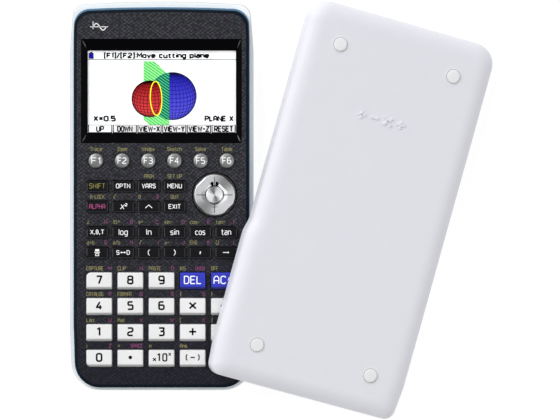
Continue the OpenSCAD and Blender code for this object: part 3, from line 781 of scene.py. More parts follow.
def front_case():
    """Black face plate with its skirt, the display opening and a hole for every key."""
    z0 = trim_high[2] + 0.02 * MM
    outer = [(2.1, z0), (2.1, FACE_Z - 1.5 * MM), (2.2, FACE_Z - 0.95 * MM), (2.5, FACE_Z - 0.5 * MM),
             (2.95, FACE_Z - 0.18 * MM), (3.6, FACE_Z - 0.03 * MM), (4.3, FACE_Z)]
    shape = Shape()
    under = [(6.0, FACE_Z - 1.6 * MM), (3.7, FACE_Z - 1.6 * MM), (3.7, z0)]
    rings = [at(front_outline(i * MM, (i + 1.9) * MM, (i - 0.6) * MM), z) for i, z in under + outer]
    shape.loft(rings, band_numbers=[1 if 2 <= k <= 7 else 0 for k in range(len(rings) - 1)])
    piece = shape.object("face_plate", [WOVEN, FACE_EDGE])

    cutter = Shape()
    low, high = FACE_Z - 3 * MM, FACE_Z + MM
    w, l = window_high[0] - window_low[0] + 0.2 * MM, window_high[1] - window_low[1] + 0.2 * MM
    cy = (window_low[1] + window_high[1]) / 2
    cutter.prism(rectangle(0, cy, w, l, (0.8 * MM,) * 4), low, high)
    for name in KEYS:
        cutter.prism(key_outline(name, KEY_GAP), low, high)
    pad_r = (pad_high[0] - pad_low[0]) / 2 - PAD_FLANGE
    cutter.disc(*PAD_CENTRE, pad_r + PAD_GAP, low, high, steps=72)
    carve(piece, cutter)
    ride(weighted(piece), BODY, "black_front", "front_case")

    # black bead round the pad's hole; its near-black gloss is partly painted shade of the gap round the pad
    bead = Shape()
    bead.loft([round_ring(*PAD_CENTRE, pad_r + d * MM, FACE_Z + z * MM, 72) for d, z in (
        (0.3, -0.9), (0.3, -0.05), (0.5, 0.03), (0.9, 0.02), (0.95, -0.2), (0.95, -0.9), (0.3, -0.9))])
    ring = bead.object("pad_hole_bead", [GLOSS_BLACK])
    drop_caps(ring, 72)
    ride(ring, BODY, "black_front")


def display_window():
    """Glossy black frame that slopes down to the picture, and a clear pane."""
    px, py, pw, pl = PICTURE
    cx, cy = (window_low[0] + window_high[0]) / 2, (window_low[1] + window_high[1]) / 2
    w, l = window_high[0] - window_low[0], window_high[1] - window_low[1]
    z0, z1 = window_low[2], window_high[2]
    floor_z = z0 + 0.8 * MM
    shape = Shape()
    sharp, soft = (0.35 * MM,) * 4, (0.7 * MM,) * 4
    rings = [
        at(rectangle(px, py, pw, pl, sharp, 3), z0),
        at(rectangle(cx, cy, w, l, soft, 3), z0),
        at(rectangle(cx, cy, w, l, soft, 3), z1 - 0.15 * MM),
        at(rectangle(cx, cy, w - 0.2 * MM, l - 0.2 * MM, soft, 3), z1),
        at(rectangle(cx, cy, w - 0.7 * MM, l - 0.7 * MM, (0.6 * MM,) * 4, 3), z1),
        at(rectangle(px, (py + cy) / 2, pw + 1.1 * MM, pl + 1.3 * MM, sharp, 3), floor_z + 0.12 * MM),
        at(rectangle(px, py, pw + 0.5 * MM, pl + 0.5 * MM, sharp, 3), floor_z),
        at(rectangle(px, py, pw, pl, sharp, 3), floor_z),
    ]
    shape.loft(rings + rings[:1])
    bezel = shape.object("window_frame", [GLOSS_BLACK], 20)
    drop_caps(bezel, len(rings[0]))
    ride(weighted(bezel), BODY, "window", "display_window")

    # painted highlights: thin lighter grey strips on the mitres where the frame's slopes meet, in place of
    # their reflections
    mitres = Shape()
    for side_x in (-1, 1):
        for side_y in (-1, 1):
            outer = Vector((cx + side_x * (w / 2 - 0.5 * MM), cy + side_y * (l / 2 - 0.5 * MM),
                            z1 - 0.02 * MM))
            inner = Vector((px + side_x * (pw / 2 + 0.6 * MM), (py + cy) / 2 + side_y * (pl / 2 + 0.7 * MM),
                            floor_z + 0.15 * MM))
            across = (inner - outer).cross(Vector((0, 0, 1))).normalized()
            for number, wide, proud in ((1, 1.0, 0.0), (0, 0.5, 0.03)):
                rows = []
                for t, half, lift in ((0, 0.3, 0.0), (0.15, 1.3, 0.04), (0.5, 1.0, 0.06), (0.88, 0.3, 0.04)):
                    p = outer.lerp(inner, t) + Vector((0, 0, (lift + proud) * MM))
                    side, drop = across * half * wide * MM, Vector((0, 0, 0.12 * MM))
                    rows.append([p - side - drop, p, p + side - drop, p - 3 * drop])
                mitres.loft(rows, number)
    ride(mitres.object("window_mitre_highlights", [MITRE_PAINTED_HIGHLIGHT, MITRE_PAINTED_HALF_HIGHLIGHT], 80), BODY, "window")

    pane = Shape()
    edges = rectangle(px, py, pw - 0.05 * MM, pl - 0.05 * MM, sharp, 3)
    pane.prism(edges, floor_z - 0.3 * MM, floor_z - 0.1 * MM)
    ride(pane.object("window_pane", [clear_pane()]), BODY, "window", "display_window")


# ---------------------------------------------------------------- picture on the display

def ball_lines(cx, cy, r, lats, lons, tilt, turn):
    """The front halves of a ball's circles of latitude and longitude, seen tilted and turned."""
    spin = Matrix.Rotation(tilt, 3, "X") @ Matrix.Rotation(turn, 3, "Y")
    loops = []
    for i in range(1, lats):
        a = -pi / 2 + pi * i / lats
        loops.append([Vector((cos(a) * cos(t), sin(a), cos(a) * sin(t))) for t in steps_of(48)])
    for i in range(lons):
        a = pi * i / lons
        loops.append([Vector((sin(t) * cos(a), cos(t), sin(t) * sin(a))) for t in steps_of(48)])
    lines = []
    for loop in loops:
        turned = [spin @ p for p in loop]
        run = []
        for p in turned + turned[:1]:
            if p.z > 0:
                run.append((cx + r * p.x, cy + r * p.y))
            elif len(run) > 1:
                lines.append(run)
                run = []
            else:
                run = []
        if len(run) > 1:
            lines.append(run)
    return lines


def hatch(shape, outline, pitch, width, z0, z1, number):
    """Parallel strokes at a falling slope across a convex outline."""
    along, normal = Vector((0.82, -0.57)), Vector((0.57, 0.82))
    points = [Vector(p) for p in outline]
    offsets = [p.dot(normal) for p in points]
    count = int((max(offsets) - min(offsets)) / pitch)
    for i in range(1, count + 1):
        offset = min(offsets) + i * pitch - pitch / 2
        hits = []
        for a, b in zip(points, points[1:] + points[:1]):
            da, db = a.dot(normal) - offset, b.dot(normal) - offset
            if (da > 0) != (db > 0):
                hits.append(a.lerp(b, da / (da - db)))
        if len(hits) == 2 and (hits[0] - hits[1]).length > 2 * width:
            start, end = sorted(hits, key=lambda p: p.dot(along))
            shape.ribbon([start + along * width / 2, end - along * width / 2], width, z0, z1, number)


def ellipse(cx, cy, a, b, turn=0.0, count=48):
    """An ellipse of those half widths, turned anticlockwise."""
    points = []
    for t in steps_of(count):
        x, y = a * cos(t), b * sin(t)
        points.append((cx + x * cos(turn) - y * sin(turn), cy + x * sin(turn) + y * cos(turn)))
    return points


def screen_picture():
    """The plot on the display: two balls cut by a plane, a title, a value and a row of soft-key tabs."""
    px, py, pw, pl = PICTURE
    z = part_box("display_module")[1][2] + 0.02 * MM
    layer = 0.02 * MM
    WHITE, INK, RED, BLUE, RED_LINE, BLUE_LINE, GREEN, TEAL, YELLOW, TAB, PALE_GREEN, DEEP_GREEN = range(12)
    shape = Shape()

    def level(i):
        return z + i * layer, z + (i + 1) * layer

    low, high = level(0)
    shape.prism(rectangle(px, py, pw + 0.3 * MM, pl + 0.3 * MM, (0.3 * MM,) * 4, 3), low, high, WHITE)

    # hatched cutting plane, drawn behind the balls
    left, right, top, bottom = px - 8.9 * MM, px + 3.7 * MM, py + 14.85 * MM, py - 15.9 * MM
    plane = [(left, bottom + 2.7 * MM), (left + 3 * MM, bottom), (right, bottom), (right, py + 7.8 * MM),
             (left + 5.2 * MM, top), (left, top)]
    low, high = level(1)
    shape.prism(plane, low, high, PALE_GREEN)
    low, high = level(2)
    hatch(shape, plane, 1.15 * MM, 0.5 * MM, low, high, GREEN)

    # the blue ball with its grid
    bx, by, r = BLUE_BALL
    low, high = level(3)
    shape.prism(ellipse(px + bx, py + by, r, r), low, high, BLUE)
    low, high = level(4)
    for run in ball_lines(px + bx, py + by, r * 0.985, 18, 18, 0.28, 0.5):
        shape.ribbon(run, 0.22 * MM, low, high, BLUE_LINE)
    shape.ribbon(ellipse(px + bx, py + by, r * 0.985, r * 0.985), 0.34 * MM, low, high, INK, True)

    # where the plane covers the blue ball it shows as darker green
    reach = acos((right - px - bx) / -r)
    band = [(px + bx - r * cos(reach * i / 12), py + by + r * sin(reach * i / 12)) for i in range(-12, 13)]
    low, high = level(5)
    shape.prism(band, low, high, TEAL)
    low, high = level(6)
    hatch(shape, band, 1.15 * MM, 0.5 * MM, low, high, DEEP_GREEN)

    # the red ball, cut off at the section curve
    sx, sy, half_w, half_h = SECTION
    bx, by, r = RED_BALL
    start = acos((sx - bx) / r)
    arc = [start + (2 * pi - 2 * start) * i / 40 for i in range(41)]
    outline = [(px + bx + r * cos(a), py + by + r * sin(a)) for a in arc]
    curve = [pi * i / 20 for i in range(1, 20)]
    outline += [(px + sx + half_w * sin(a), py + sy - half_h * cos(a)) for a in curve]
    low, high = level(7)
    shape.prism(outline, low, high, RED)
    low, high = level(8)
    for run in ball_lines(px + bx, py + by, r * 0.985, 16, 14, 0.28, 0.3):
        inside = [p for p in run if p[0] < px + sx or
                  ((p[0] - px - sx) / half_w) ** 2 + ((p[1] - py - sy) / half_h) ** 2 < 0.9]
        if len(inside) > 1:
            shape.ribbon(inside, 0.24 * MM, low, high, RED_LINE)
    shape.ribbon(outline[:41], 0.34 * MM, low, high, INK)

    # section curve
    low, high = level(9)
    shape.ribbon(ellipse(px + sx, py + sy, half_w, half_h, 0.04), 0.46 * MM, low, high, YELLOW, True)

    # title with its rule, value and caption
    low, high = level(1)
    top_y = py + pl / 2
    shape.box((px - pw / 2, top_y - 4.5 * MM, low), (px + pw / 2, top_y - 4.2 * MM, high), INK)
    write(shape, "[F1]/[F2]:Move cutting plane", px - 2.6 * MM, top_y - 2.3 * MM, 2.7 * MM, 0.72 * MM,
          low, high, INK, width=51 * MM)
    x = px - pw / 2 + 1.65 * MM
    shape.box((x - 1.2 * MM, top_y - 3.9 * MM, low), (x + 1.2 * MM, top_y - 1.1 * MM, high), BLUE_LINE)
    shape.box((x - 0.6 * MM, top_y - 1.2 * MM, low), (x + 0.6 * MM, top_y - 0.6 * MM, high), BLUE_LINE)
    low, high = level(2)
    shape.box((x - 0.7 * MM, top_y - 3.4 * MM, low), (x + 0.7 * MM, top_y - 1.6 * MM, high), BLUE)
    low, high = level(1)
    row = py - pl / 2 + 7.1 * MM
    write(shape, "X=0.5", px - pw / 2 + 2.6 * MM, row, 2.9 * MM, 0.8 * MM,
          low, high, INK, "LEFT", 11.0 * MM)
    write(shape, "PLANE X", px + pw / 2 - 1.1 * MM, row, 2.9 * MM, 0.74 * MM,
          low, high, INK, "RIGHT", 14.1 * MM)

    # soft-key tabs
    tab_w, tab_h = pw / 6, 4.1 * MM
    tab_y = py - pl / 2 + tab_h / 2
    for i, word in enumerate(("UP", "DOWN", "VIEW-X", "VIEW-Y", "VIEW-Z", "RESET")):
        x = px - pw / 2 + (i + 0.5) * tab_w
        low, high = level(1)
        gap, inset = 0.12 * MM, 0.6 * MM
        shape.box((x - tab_w / 2 + gap, tab_y - tab_h / 2, low),
                  (x + tab_w / 2 - gap, tab_y + tab_h / 2, high), INK)
        low, high = level(2)
        shape.box((x - tab_w / 2 + inset, tab_y - tab_h / 2 + inset * 0.9, low),
                  (x + tab_w / 2 - inset, tab_y + tab_h / 2 - inset * 0.4, high), WHITE if i == 0 else TAB)
        low, high = level(3)
        write(shape, word, x, tab_y + 0.05 * MM, 3.0 * MM, 0.66 * MM, low, high, INK,
              width=min(tab_w - 1.6 * MM, (1.8 * len(word) + 0.4) * MM))

    red_y, blue_y = py + RED_BALL[1], py + BLUE_BALL[1]
    materials = [
        screen_ink("screen white", (0.95, 0.96, 0.96), 0.01, 0.28),
        screen_ink("screen ink", (0.006, 0.006, 0.01), glow=0),
        ball_material("red ball", srgb(150, 0, 4), srgb(214, 60, 66), red_y, RED_BALL[2]),
        ball_material("blue ball", srgb(10, 8, 170), srgb(84, 80, 214), blue_y, BLUE_BALL[2]),
        screen_ink("red grid", srgb(50, 0, 4), glow=0.05),
        screen_ink("blue grid", srgb(20, 16, 96), glow=0.05),
        screen_ink("plane green", srgb(84, 200, 88), glow=0.25),
        screen_ink("cut green", srgb(6, 92, 74)),
        screen_ink("section yellow", srgb(255, 236, 30), glow=0.6),
        screen_ink("tab grey", srgb(226, 226, 226)),
        screen_ink("pale plane green", srgb(152, 246, 156), glow=0.25),
        screen_ink("deep plane green", srgb(66, 190, 130)),
    ]
    ride(shape.object("screen_picture", materials), BODY, "display")


# ---------------------------------------------------------------- keys

FUNCTION = [f"key_f{i}" for i in range(1, 7)]
SMALL = ["key_" + word for word in (
    "shift option vars menu alpha square power exit variable log ln sin cos tan "
    "fraction format left_paren right_paren comma store").split()]
LARGE = ["key_" + word for word in (
    "7 8 9 delete clear 4 5 6 multiply divide 1 2 3 plus minus 0 point exponent negate enter").split()]
KEYS = FUNCTION + SMALL + LARGE
BLUE_KEYS = ("key_delete", "key_clear")

# Keys with one rounder corner: its place in the order lower right, upper right, upper left, lower left
ROUND_CORNER = {"key_7": 2, "key_0": 3, "key_clear": 1, "key_enter": 0, "key_shift": 2, "key_alpha": 3,
                "key_variable": 2, "key_fraction": 3, "key_tan": 1, "key_store": 0}


def key_corners(name):
    """The four corner radii of a key's cap."""
    radii = [0.7 * MM] * 4
    if name in ROUND_CORNER:
        radii[ROUND_CORNER[name]] = 2.4 * MM if name in LARGE else 2.4 * MM * 0.8
    return radii


def key_place(name):
    """Centre x, centre y, width and length of a key's cap."""
    low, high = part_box(name)
    flange = LARGE_KEY_FLANGE if name in LARGE else SMALL_KEY_FLANGE
    x, y = (low[0] + high[0]) / 2, (low[1] + high[1]) / 2
    return x, y, high[0] - low[0] - 2 * flange, high[1] - low[1] - 2 * flange


def key_outline(name, grow, lower=0.0):
    """Outline of a key's cap, grown by a margin, with its lower edge moved up."""
    x, y, w, l = key_place(name)
    if name in FUNCTION:
        return circle(x, y, w / 2 + grow, 48)
    radii = [max(0.12 * MM, r + grow) for r in key_corners(name)]
    return rectangle(x, y + lower / 2, w + 2 * grow, l + 2 * grow - lower, radii)


def key_profile(name):
    """(margin, lower edge moved up, height) from the plunger to the top of the cap."""
    flange = LARGE_KEY_FLANGE if name in LARGE else SMALL_KEY_FLANGE
    low_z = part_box(name)[0][2]
    flange_z = FACE_Z - 1.6 * MM - 1.15 * MM
    narrow = -key_place(name)[3] / 2 + 1.2 * MM
    base = [(narrow, 0, low_z), (narrow, 0, flange_z), (flange, 0, flange_z), (flange, 0, flange_z + MM),
            (0, 0, flange_z + MM)]
    top = KEY_TOP_Z
    if name in FUNCTION:
        rise = [(0, 0, top - 0.75 * MM), (-0.08 * MM, 0, top - 0.55 * MM), (-0.35 * MM, 0, top - 0.34 * MM)]
        rise += [(-d * MM, 0, top - 0.3 * MM * (1 - d / 3.55) ** 2) for d in (0.8, 1.4, 2.1, 2.8, 3.3)]
        return base + rise
    if name in LARGE:
        return base + [(0, 0, top - 1.35 * MM), (-0.06 * MM, 0.12 * MM, top - 0.95 * MM),
                       (-0.16 * MM, 0.62 * MM, top - 0.35 * MM), (-0.3 * MM, 0.8 * MM, top - 0.12 * MM),
                       (-0.5 * MM, 0.95 * MM, top - 0.02 * MM), (-0.8 * MM, 1.1 * MM, top)]
    return base + [(0, 0, top - 1.1 * MM), (-0.08 * MM, 0.05 * MM, top - 0.7 * MM),
                   (-0.28 * MM, 0.2 * MM, top - 0.3 * MM), (-0.5 * MM, 0.3 * MM, top - 0.08 * MM),
                   (-0.8 * MM, 0.35 * MM, top)]


def key_finish(name):
    """Material of a key's top, material of its sides (painted shade or painted highlight), and its slot."""
    if name in FUNCTION:
        return SILVER, BLACK_KEY_EDGE_HIGHLIGHT, "silver_plastic"
    if name in SMALL:
        return BLACK_KEY, BLACK_KEY_EDGE_HIGHLIGHT, "black_key"
    if name in BLUE_KEYS:
        return BLUE_KEY, BLUE_KEY_EDGE_SHADE, "blue_key"
    return WHITE_KEY, WHITE_KEY_EDGE_SHADE, "white_key"


SMALL_WORDS = {
    "key_shift": ("SHIFT", 7.7, 2.5), "key_option": ("OPTN", 6.9, 2.3), "key_vars": ("VARS", 6.7, 2.3),
    "key_menu": ("MENU", 7.0, 2.3), "key_alpha": ("ALPHA", 7.8, 2.3), "key_exit": ("EXIT", 5.9, 2.3),
    "key_log": ("log", 4.5, 2.9), "key_ln": ("ln", 2.7, 2.9), "key_sin": ("sin", 4.2, 2.9),
    "key_cos": ("cos", 4.8, 2.9), "key_tan": ("tan", 4.8, 2.9), "key_variable": ("X,θ,T", 6.8, 2.3),
}


def small_legend(shape, name, x, y, z0, z1):
    """Legend of one of the small black keys."""
    bold = 0.31 * MM
    if name in SMALL_WORDS:
        word, width, height = SMALL_WORDS[name]
        stroke = 0.24 * MM if name in ("key_shift", "key_alpha") else bold
        write(shape, word, x, y, height * MM, stroke, z0, z1, 1, width=width * MM)
    elif name == "key_square":
        write(shape, "x", x - 0.5 * MM, y + 0.3 * MM, 3.4 * MM, bold, z0, z1, 1, slant=0.22)
        write(shape, "2", x + 1.5 * MM, y + 0.8 * MM, 1.5 * MM, 0.3 * MM, z0, z1, 1)
    elif name == "key_power":
        glyph(shape, "^", x, y, 3.6 * MM, 2.2 * MM, bold, z0, z1, 1)
    elif name == "key_fraction":
        shape.box((x - 0.95 * MM, y + 0.55 * MM, z0), (x + 0.95 * MM, y + 1.6 * MM, z1), 1)
        shape.ribbon([(x - 1.35 * MM, y + 0.1 * MM), (x + 1.35 * MM, y + 0.1 * MM)], 0.35 * MM, z0, z1, 1)
        box = [(x - 0.75 * MM, y - 1.55 * MM), (x + 0.75 * MM, y - 1.55 * MM), (x + 0.75 * MM, y - 0.55 * MM),
               (x - 0.75 * MM, y - 0.55 * MM)]
        shape.ribbon(box, 0.3 * MM, z0, z1, 1, True)
    elif name == "key_format":
        write(shape, "S", x - 2.5 * MM, y, 2.2 * MM, bold, z0, z1, 1)
        write(shape, "D", x + 2.5 * MM, y, 2.2 * MM, bold, z0, z1, 1)
        arrow(shape, x - 1.3 * MM, x + 1.3 * MM, y, z0, z1, True)
    elif name in ("key_left_paren", "key_right_paren"):
        glyph(shape, "(" if name == "key_left_paren" else ")", x, y, 1.0 * MM, 2.6 * MM, bold, z0, z1, 1)
    elif name == "key_comma":
        shape.ribbon([(x - 0.15 * MM, y - 0.7 * MM), (x + 0.12 * MM, y + 0.5 * MM)], 0.5 * MM, z0, z1, 1)
    else:
        arrow(shape, x - 1.5 * MM, x + 1.5 * MM, y, z0, z1, False)


def arrow(shape, x0, x1, y, z0, z1, both):
    """A horizontal arrow, with a head on its left end too if both."""
    head = 0.7 * MM
    shape.ribbon([(x0 + (head if both else 0), y), (x1 - head, y)], 0.32 * MM, z0, z1, 1)
    shape.prism([(x1, y), (x1 - head, y + head * 0.75), (x1 - head, y - head * 0.75)], z0, z1, 1)
    if both:
        shape.prism([(x0, y), (x0 + head, y - head * 0.75), (x0 + head, y + head * 0.75)], z0, z1, 1)


# What the large keys show besides their digits, in mm from the legend's centre
LARGE_MARKS = {     # glyph, x, y, width, height, stroke
    "multiply": [("x", 0, 0, 3.9, 3.7, 0.84)], "divide": [("-", 0, 0, 3.9, 3.7, 0.84)],
    "plus": [("+", 0, 0, 4.2, 4.2, 0.84)], "minus": [("-", 0, 0, 4.2, 4.2, 0.84)],
    "exponent": [("x", -3.4, -1.0, 1.9, 1.9, 0.5), ("1", -1.2, 0, 2.5, 4.1, 0.66),
                 ("0", 1.6, 0, 2.5, 4.1, 0.66), ("x", 4.0, 1.5, 1.5, 1.7, 0.42)],
    "negate": [("(", -2.9, 0, 1.1, 3.0, 0.56), ("-", 0, 0, 2.7, 2.4, 0.6), (")", 2.9, 0, 1.1, 3.0, 0.56)],
}
LARGE_WORDS = {     # text, x, y, height, stroke, width or 0
    "delete": [("DEL", 0, 0, 4.0, 0.48, 8.5)], "enter": [("ENTER", 0, 0, 2.5, 0.45, 9.2)],
    "clear": [("AC", -1.9, 0, 4.0, 0.48, 6.2), ("/ON", 3.5, 0.5, 1.6, 0.28, 0)],
}
LARGE_DOTS = {"divide": ((-1.3, 0.42), (1.3, 0.42)), "point": ((0, 0.85),)}     # y, radius


def large_legend(shape, name, x, y, z0, z1):
    """Legend of one of the large keys."""
    word = name[4:]
    digit = [(word, 0, 0, 3.2, 4.4, 0.84)] if word.isdigit() else []
    for char, dx, dy, w, h, stroke in LARGE_MARKS.get(word, digit):
        glyph(shape, char, x + dx * MM, y + dy * MM, w * MM, h * MM, stroke * MM, z0, z1, 1)
    for text, dx, dy, height, stroke, width in LARGE_WORDS.get(word, ()):
        write(shape, text, x + dx * MM, y + dy * MM, height * MM, stroke * MM, z0, z1, 1, width=width * MM)
    for dy, r in LARGE_DOTS.get(word, ()):
        shape.disc(x, y + dy * MM, r * MM, z0, z1, 1)


def key(name):
    """One key: plunger, flange and rounded cap, with its legend just proud of the top."""
    shape = Shape()
    shape.loft([at(key_outline(name, margin, lower), z) for margin, lower, z in key_profile(name)])
    x, y, w, l = key_place(name)
    z0, z1 = KEY_TOP_Z - 0.25 * MM, KEY_TOP_Z + 0.03 * MM
    paint_edge_light(shape, name, x, y, w, l)
    ink = LEGEND_WHITE_GLOW
    if name in FUNCTION:
        write(shape, "F" + name[-1], x, y, 3.1 * MM, 0.38 * MM, z0, z1, 1, width=4.3 * MM)
    elif name in SMALL:
        small_legend(shape, name, x, y + 0.1 * MM, z0, z1)
        ink = {"key_shift": LEGEND_OLIVE, "key_alpha": LEGEND_PINK}.get(name, LEGEND_WHITE_GLOW)
    else:
        large_legend(shape, name, x, y + 0.45 * MM, z0, z1)
        ink = LEGEND_WHITE_GLOW if name in BLUE_KEYS else LEGEND_DARK
    top, sides, slot = key_finish(name)
    piece = shape.object(name + "_cap", [top, ink, sides])
    ride(weighted(piece), name, slot, name)


def paint_edge_light(shape, name, x, y, w, l):
    """Gives the cap's sloping left, right and front faces their own finish: painted shade on the white and
    blue keys, a painted highlight on the black keys.
    """
    if name in FUNCTION:
        return
    low = FACE_Z - 0.2 * MM
    edge = (0.42 if name in SMALL else 0.3) * MM
    front = (0.5 if name in SMALL else 1.0) * MM
    for i, face in enumerate(shape.faces):
        points = [shape.verts[k] for k in face]
        cx, cy, cz = (sum(p[axis] for p in points) / len(points) for axis in range(3))
        if cz > low and (abs(cx - x) > w / 2 - edge or cy < y - l / 2 + front) and cy < y + l / 2 - edge:
            shape.numbers[i] = 2


# ---------------------------------------------------------------- cursor pad

def cursor_pad():
    """Silver rocking pad: a drum, a raised plate with four flats, a square groove and a dished centre."""
    cx, cy = PAD_CENTRE
    r = (pad_high[0] - pad_low[0]) / 2 - PAD_FLANGE
    top = pad_high[2]

    def ring(radius, z, flat=None):
        """A round ring, cut by four diagonal flats at that distance from its centre."""
        points = []
        for a in steps_of(96):
            reach = min(radius, flat / cos(abs(a % (pi / 2) - pi / 4))) if flat else radius
            points.append((cx + reach * cos(a), cy + reach * sin(a), z))
        return points

    low = pad_low[2]
    ledge = FACE_Z + 0.6 * MM
    PLATE, DARK, FACET, CENTRE, BLACK = range(5)
    rings = [
        ring(2 * MM, low), ring(2 * MM, FACE_Z - 3.05 * MM), ring(r + PAD_FLANGE, FACE_Z - 3.05 * MM),
        ring(r + PAD_FLANGE, FACE_Z - 2.35 * MM), ring(r, FACE_Z - 2.35 * MM), ring(r, ledge - 0.3 * MM),
        ring(r - 0.15 * MM, ledge), ring(r - 0.2 * MM, ledge, 9.4 * MM),
        ring(r - 0.22 * MM, top - 0.6 * MM, 9.35 * MM), ring(r - 0.5 * MM, top - 0.15 * MM, 9.15 * MM),
        ring(r - 1.0 * MM, top, 8.8 * MM), ring(6.3 * MM, top - 0.2 * MM, 5.5 * MM),
        ring(6.15 * MM, top - 0.34 * MM, 5.35 * MM), ring(4.6 * MM, top - 0.5 * MM, 4.3 * MM),
        ring(4.35 * MM, top - 0.95 * MM, 4.2 * MM), ring(4.2 * MM, top - 0.95 * MM),
        ring(4.05 * MM, top - 0.4 * MM), ring(3.7 * MM, top - 0.22 * MM), ring(2.6 * MM, top - 0.42 * MM),
        ring(1.2 * MM, top - 0.52 * MM),
    ]
    bands = [PLATE] * 5 + [DARK] * 3 + [PLATE] * 3 + [FACET] * 2 + [DARK] * 2 + [CENTRE] * 4
    shape = Shape()
    shape.loft(rings, band_numbers=bands)
    for a in steps_of(4):
        for start, end, z in ((6.2, 8.7, top), (4.4, 6.2, top - 0.15 * MM)):
            shape.ribbon([(cx + d * MM * cos(a), cy + d * MM * sin(a)) for d in (start, end)], 0.32 * MM,
                         z - 0.8 * MM, z, DARK)
    for side in (-1, 1):
        outline = [(cx + side * x * MM, cy + y * MM) for x, y in (
            (0.5, 6.3), (0.5, 4.2), (1.2, 4.2), (2.2, 5.3), (1.4, 6.3))]
        shape.prism(outline if side > 0 else outline[::-1], top - 1.0 * MM, top - 0.12 * MM, BLACK)
    # the plate, facets and centre carry painted highlights and painted shade in sectors
    finishes = [PAD_PLATE, SILVER_DARK, PAD_FACET, PAD_CENTRE_DISC, GLOSS_BLACK]
    piece = shape.object("cursor_pad_top", finishes, 25)
    ride(weighted(piece), "cursor_pad", "silver_plastic", "cursor_pad")


# ---------------------------------------------------------------- printed labels

def printed_labels():
    """Small coloured legends printed on the face plate, one mesh for each ink."""
    z0, z1 = FACE_Z - 0.1 * MM, FACE_Z + 0.03 * MM
    olive, pink, white = Shape(), Shape(), Shape()
    height, thin, letter = 1.95 * MM, 0.22 * MM, 1.17 * MM
    xs = {name: key_place(name)[0] for name in KEYS}
    ys = {name: key_place(name)[1] for name in KEYS}

    def label(shape, word, x, y, align="CENTER"):
        narrow = sum(char in "il.:,I()[]{}" for char in word) * 0.6
        width = max(0.7, len(word) - narrow) * letter
        write(shape, word, x, y, height, thin, z0, z1, align=align, width=width if len(word) > 1 else None)

    for name, word in zip(FUNCTION, ("Trace", "Zoom", "Window", "Sketch", "Solve", "Table")):
        label(olive, word, xs[name], ys[name] + 5.6 * MM)
    for name, word in (("key_vars", "PRGM"), ("key_menu", "SET UP"), ("key_exit", "QUIT"),
                       ("key_alpha", "A-LOCK")):
        label(olive, word, xs[name], ys[name] + 4.8 * MM)
    rows = [
        (["key_square", "key_power"], ["√", "θ"], ["r", "θ"], 4.8, 5.0),
        (SMALL[8:14], ["∠", "10^", "e^", "sin-", "cos-", "tan-"], list("ABCDEF"), 4.9, 5.0),
        (SMALL[14:20], ["a+b", "a/b", "√", "x-", "ENG", "(,)"], list("GHIJKL"), 4.9, 5.0),
        (LARGE[0:5], ["CAPTURE", "CLIP", "PASTE", "INS", "OFF"], ["M", "N", "O", "UNDO", ""], 6.0, 6.2),
        (LARGE[5:10], ["CATALOG", "FORMAT", "", "{", "}"], list("PQRST"), 6.0, 6.2),
        (LARGE[10:15], ["List", "Mat", "", "[", "]"], list("UVWXY"), 6.0, 6.2),
        (LARGE[15:20], ["i", "=", "π", "Ans", ""], ["Z", "SPACE", "", "", ""], 6.0, 6.2),
    ]
    for names, lefts, rights, up, side in rows:
        for name, left, right in zip(names, lefts, rights):
            y = ys[name] + up * MM
            if left:
                label(olive, left, xs[name] - side * MM, y, "LEFT")
            if right:
                label(pink, right, xs[name] + (side - 0.3) * MM, y, "RIGHT")

    # small plot pictogram at the display end
    x, y = -33.0 * MM, 82.2 * MM
    white.ribbon([(x, y - 1.7 * MM), (x, y + 2.1 * MM)], 0.35 * MM, z0, z1)
    white.ribbon([(x - 1.4 * MM, y - 0.6 * MM), (x + 7.2 * MM, y - 0.6 * MM)], 0.35 * MM, z0, z1)
    wave = [(x + 6.4 * MM * t / 24, y - 0.6 * MM + 1.6 * MM * sin(2 * pi * t / 24)) for t in range(25)]
    white.ribbon(wave, 0.5 * MM, z0, z1)
    for shape, name, ink in ((olive, "labels_olive", LABEL_OLIVE), (pink, "labels_pink", LABEL_PINK),
                             (white, "plot_pictogram", LABEL_WHITE)):
        ride(shape.object(name, [ink]), BODY, "black_front")


# ---------------------------------------------------------------- cover

def cover_outline(inset):
    """Outline of the cover, drawn in by a margin. Its left side has closer points where it swells."""
    w, l = COVER_W / 2 - inset, COVER_L / 2 - inset
    top_r, low_r = 10.5 * MM - inset, 5.4 * MM - inset / 2
    steps = 10
    right = rounded([(w - 1.6 * MM, -l, low_r), (w, -l + 17 * MM, 40 * MM), (w, l, top_r),
                     (-w, l, top_r), (-w, -l + 17 * MM, 40 * MM), (-w + 1.6 * MM, -l, low_r)], steps)
    cut_at = 4 * (steps + 1)
    low, high = SWELL_Y
    left = [(-w, high - (high - low) * (i - 2) / 8) for i in range(13)]
    return right[:cut_at] + left + right[cut_at:]


def swelled(x, y):
    """Shifts a point of the cover's left side out by the thumb swell near its open end."""
    low, high = SWELL_Y
    t = max(0.0, min(1.0, (high - y) / (high - low)))
    side = max(0.0, min(1.0, -x / (COVER_W / 2 - 12 * MM)))
    return x - SWELL * t * t * (3 - 2 * t) * side * side * (3 - 2 * side)


def cover_matrix():
    """From the cover's own frame, lip plane at z = 0, to the row frame."""
    lean = asin((KEY_TOP_Z + COVER_LIFT) / (COVER_W - MM))
    place = Matrix.Translation((*COVER_PLACE, COVER_W / 2 * sin(lean) + 0.05 * MM))
    return place @ Matrix.Rotation(-COVER_TURN, 4, "Z") @ Matrix.Rotation(lean, 4, "Y")


def lip_height(x, y):
    """Height of the cover's lip: it is cut back across its open end."""
    reach = COVER_W / 2 - 5 * MM
    if y > -COVER_L / 2 + 3.4 * MM or abs(x) > reach:
        return 0.0
    edge = min(1.0, (reach - abs(x)) / (3.5 * MM))
    return (COVER_D - 4 * MM) * edge * edge * (3 - 2 * edge)


